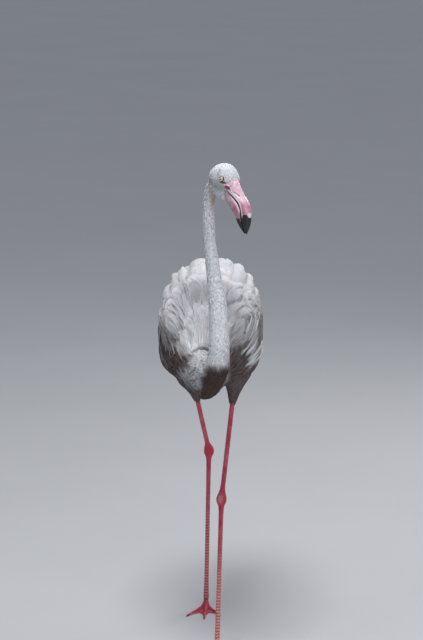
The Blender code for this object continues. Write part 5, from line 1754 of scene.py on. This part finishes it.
def make_leg(side):
    """Melts one leg's tubes, raises its cross plates in front, and stores its marks."""
    points, sizes = leg_line(side)
    parts = [ring_tube("leg_tube", points, sizes[:, 0], sizes[:, 1], 32)]
    joint = np.array(FOOT_JOINT[side]) + MOVED
    # The ball's axis is upright, which leaves it no width, so the joint is where the other tubes meet.
    parts.append(ball("knuckle_tube", joint, 0.0084, 16, 24, (0, 0, 1), None))
    for _, spread, share in TOES:
        path = toe_path(side, spread, MIDDLE_TOE * share)
        radius = toe_radius(np.linspace(0, 1, len(path)))
        parts.append(ring_tube("toe_tube", path, radius, radius * 1.10, 20))
    share = np.linspace(0, 1, 14)
    hind = joint + np.array((0, 0.0030, 0)) + np.array((0, 1.0, 0)) * (share * HIND_TOE_LENGTH)[:, None]
    hind[:, 2] = joint[2] * 0.92 - (joint[2] * 0.92 - 0.006) * share * min(1.0, 0.018 / joint[2])
    radius = 0.0034 * (1 - 0.62 * share)
    parts.append(ring_tube("hind_tube", hind, radius, radius, 14))
    parts.append(web_tube(side))
    leg = melted("leg_skin_" + side, parts, LEG_VOXEL, LEG, 2)
    spots, normals = mesh_points(leg), mesh_normals(leg)
    travelled = np.concatenate(([0], np.cumsum(np.linalg.norm(np.diff(points, axis=0), axis=1))))
    order = np.argsort(points[:, 2])
    run = np.interp(spots[:, 2], points[order, 2], travelled[order])
    upright = smooth_step(joint[2] + 0.004, joint[2] + 0.014, spots[:, 2])
    front = smooth_step(-0.3, 0.5, -normals[:, 1])
    wave = (run / PLATE + 0.12 * np.sin(spots[:, 0] * 900)) % 1
    seam = np.exp(-((np.minimum(wave, 1 - wave) / 0.13) ** 2)) * upright * (0.35 + 0.65 * front)
    toe_wave = (np.hypot(spots[:, 0] - joint[0], spots[:, 1] - joint[1]) / TOE_PLATE) % 1
    toe_seam = np.exp(-((np.minimum(toe_wave, 1 - toe_wave) / 0.16) ** 2)) * (1 - upright)
    toe_seam = toe_seam * smooth_step(0.0022, 0.0035, spots[:, 2])
    spots += normals * ((0.00018 - 0.00042 * seam) * upright - 0.0003 * toe_seam)[:, None]
    spots[:, 2] = np.maximum(spots[:, 2], 0.0)
    move_points(leg, spots)
    ankle = np.array(ANKLE[side]) + MOVED
    near = np.exp(-((np.abs(spots[:, 2] - ankle[2]) / 0.030) ** 2))
    patch = np.exp(-(((spots - ankle - (-0.004, -0.012, 0.004)) / (0.006, 0.010, 0.010)) ** 2).sum(1))
    low = smooth_step(ankle[2] - 0.06, ankle[2] - 0.20, spots[:, 2]) * upright
    between_seams = smooth_step(0.20, 0.42, np.minimum(wave, 1 - wave))
    # Pale plate centres on the front of the lower tarsus: partly the plates' paler tone, partly painted
    # highlight.
    plate = between_seams * front * low * (0.75 + 0.25 * mottle(spots, 0.004))
    set_marks(
        leg,
        seam=np.clip(seam * (0.45 + 0.45 * low) + toe_seam * 0.5, 0, 1),
        deep=np.clip(near * 0.9 + 0.45 * smooth_step(0.45, 0.62, spots[:, 2]), 0, 1),
        salmon=np.clip(patch * 0.9 * (side == "left") + plate * 0.95, 0, 1),
        ochre=0.75 * low * (side == "left") * (0.7 + 0.3 * mottle(spots, 0.010)),
    )
    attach(leg, "root")
    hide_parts(*(part + "_" + side for part in ("shank", "ankle", "tarsus", "foot", "hind_toe")))
    print(leg.name, len(leg.data.polygons), "faces")


for side in KNEE:
    make_leg(side)

for name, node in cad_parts.items():
    if name.startswith("claw"):
        node.data.materials.clear()
        node.data.materials.append(CLAW)

# %% [markdown]
# ## Floor, light and camera
# A plain pale floor reaches far behind the bird. The light is soft: a wide lamp overhead and a
# little behind gives the bright rim on crown, shoulders and neck, a weaker one fills from the
# front, and the sky is a dim grey. The camera has a long lens, stands above the bird's height
# and looks down on it by twelve degrees.

# %% Floor
floor_corners = np.array(((-40.0, -10, 0), (40, -10, 0), (40, 60, 0), (-40, 60, 0)))
floor = make_object("floor", floor_corners, [np.array([[0, 1, 2, 3]])], FLOOR)


# %% Light
def lamp(name, place, aim, size, power, colour):
    """A square soft lamp at a place, turned towards a point."""
    light = bpy.data.lights.new(name, "AREA")
    light.shape, light.size = "SQUARE", size
    light.energy, light.color = power, colour
    made = bpy.data.objects.new(name, light)
    bpy.context.scene.collection.objects.link(made)
    back = unit(np.array(place) - np.array(aim))
    right = unit(np.cross((0.0, 1e-6, 1.0), back))
    made.matrix_world = turned(right, np.cross(back, right), back, place)


def turned(right, up, back, place):
    """A matrix whose columns are right, up and back, standing at a place."""
    columns = np.column_stack((right, up, back, place))
    return Matrix(np.vstack((columns, (0, 0, 0, 1))).tolist())


lamp("key", (-0.2, -1.0, 3.9), (0.0, 0.0, 0.8), 1.2, 106, (0.97, 0.98, 1.0))
lamp("fill", (1.3, -3.4, 1.5), (0.0, 0.0, 0.8), 1.6, 34, (0.96, 0.97, 1.0))
lamp("rim", (1.6, 1.9, 2.2), (0.0, 0.0, 0.9), 0.9, 30, (1.0, 0.98, 0.96))
world = bpy.data.worlds.new("studio")
world.use_nodes = True
sky = world.node_tree.nodes["Background"]
sky.inputs["Color"].default_value = (0.80, 0.88, 1.0, 1.0)
sky.inputs["Strength"].default_value = 0.22
bpy.context.scene.world = world
bpy.context.scene.view_settings.view_transform = "Standard"

# %% Camera
CAMERA_DISTANCE, CAMERA_HEIGHT, CAMERA_PITCH = 5.2, 1.845, math.radians(12.0)
SENSOR_MM, LENS_MM, SEES_UP_TO = 36.0, 130.66875, 200.0
camera = bpy.data.objects.new("camera", bpy.data.cameras.new("camera"))
camera.data.sensor_width, camera.data.lens, camera.data.clip_end = SENSOR_MM, LENS_MM, SEES_UP_TO
bpy.context.scene.collection.objects.link(camera)
look = np.array((0.0, math.cos(CAMERA_PITCH), -math.sin(CAMERA_PITCH)))
stand = (MOVED[0], MOVED[1] - CAMERA_DISTANCE, CAMERA_HEIGHT)
camera.matrix_world = turned((1, 0, 0), np.cross((1, 0, 0), look), -look, stand)
bpy.context.scene.camera = camera
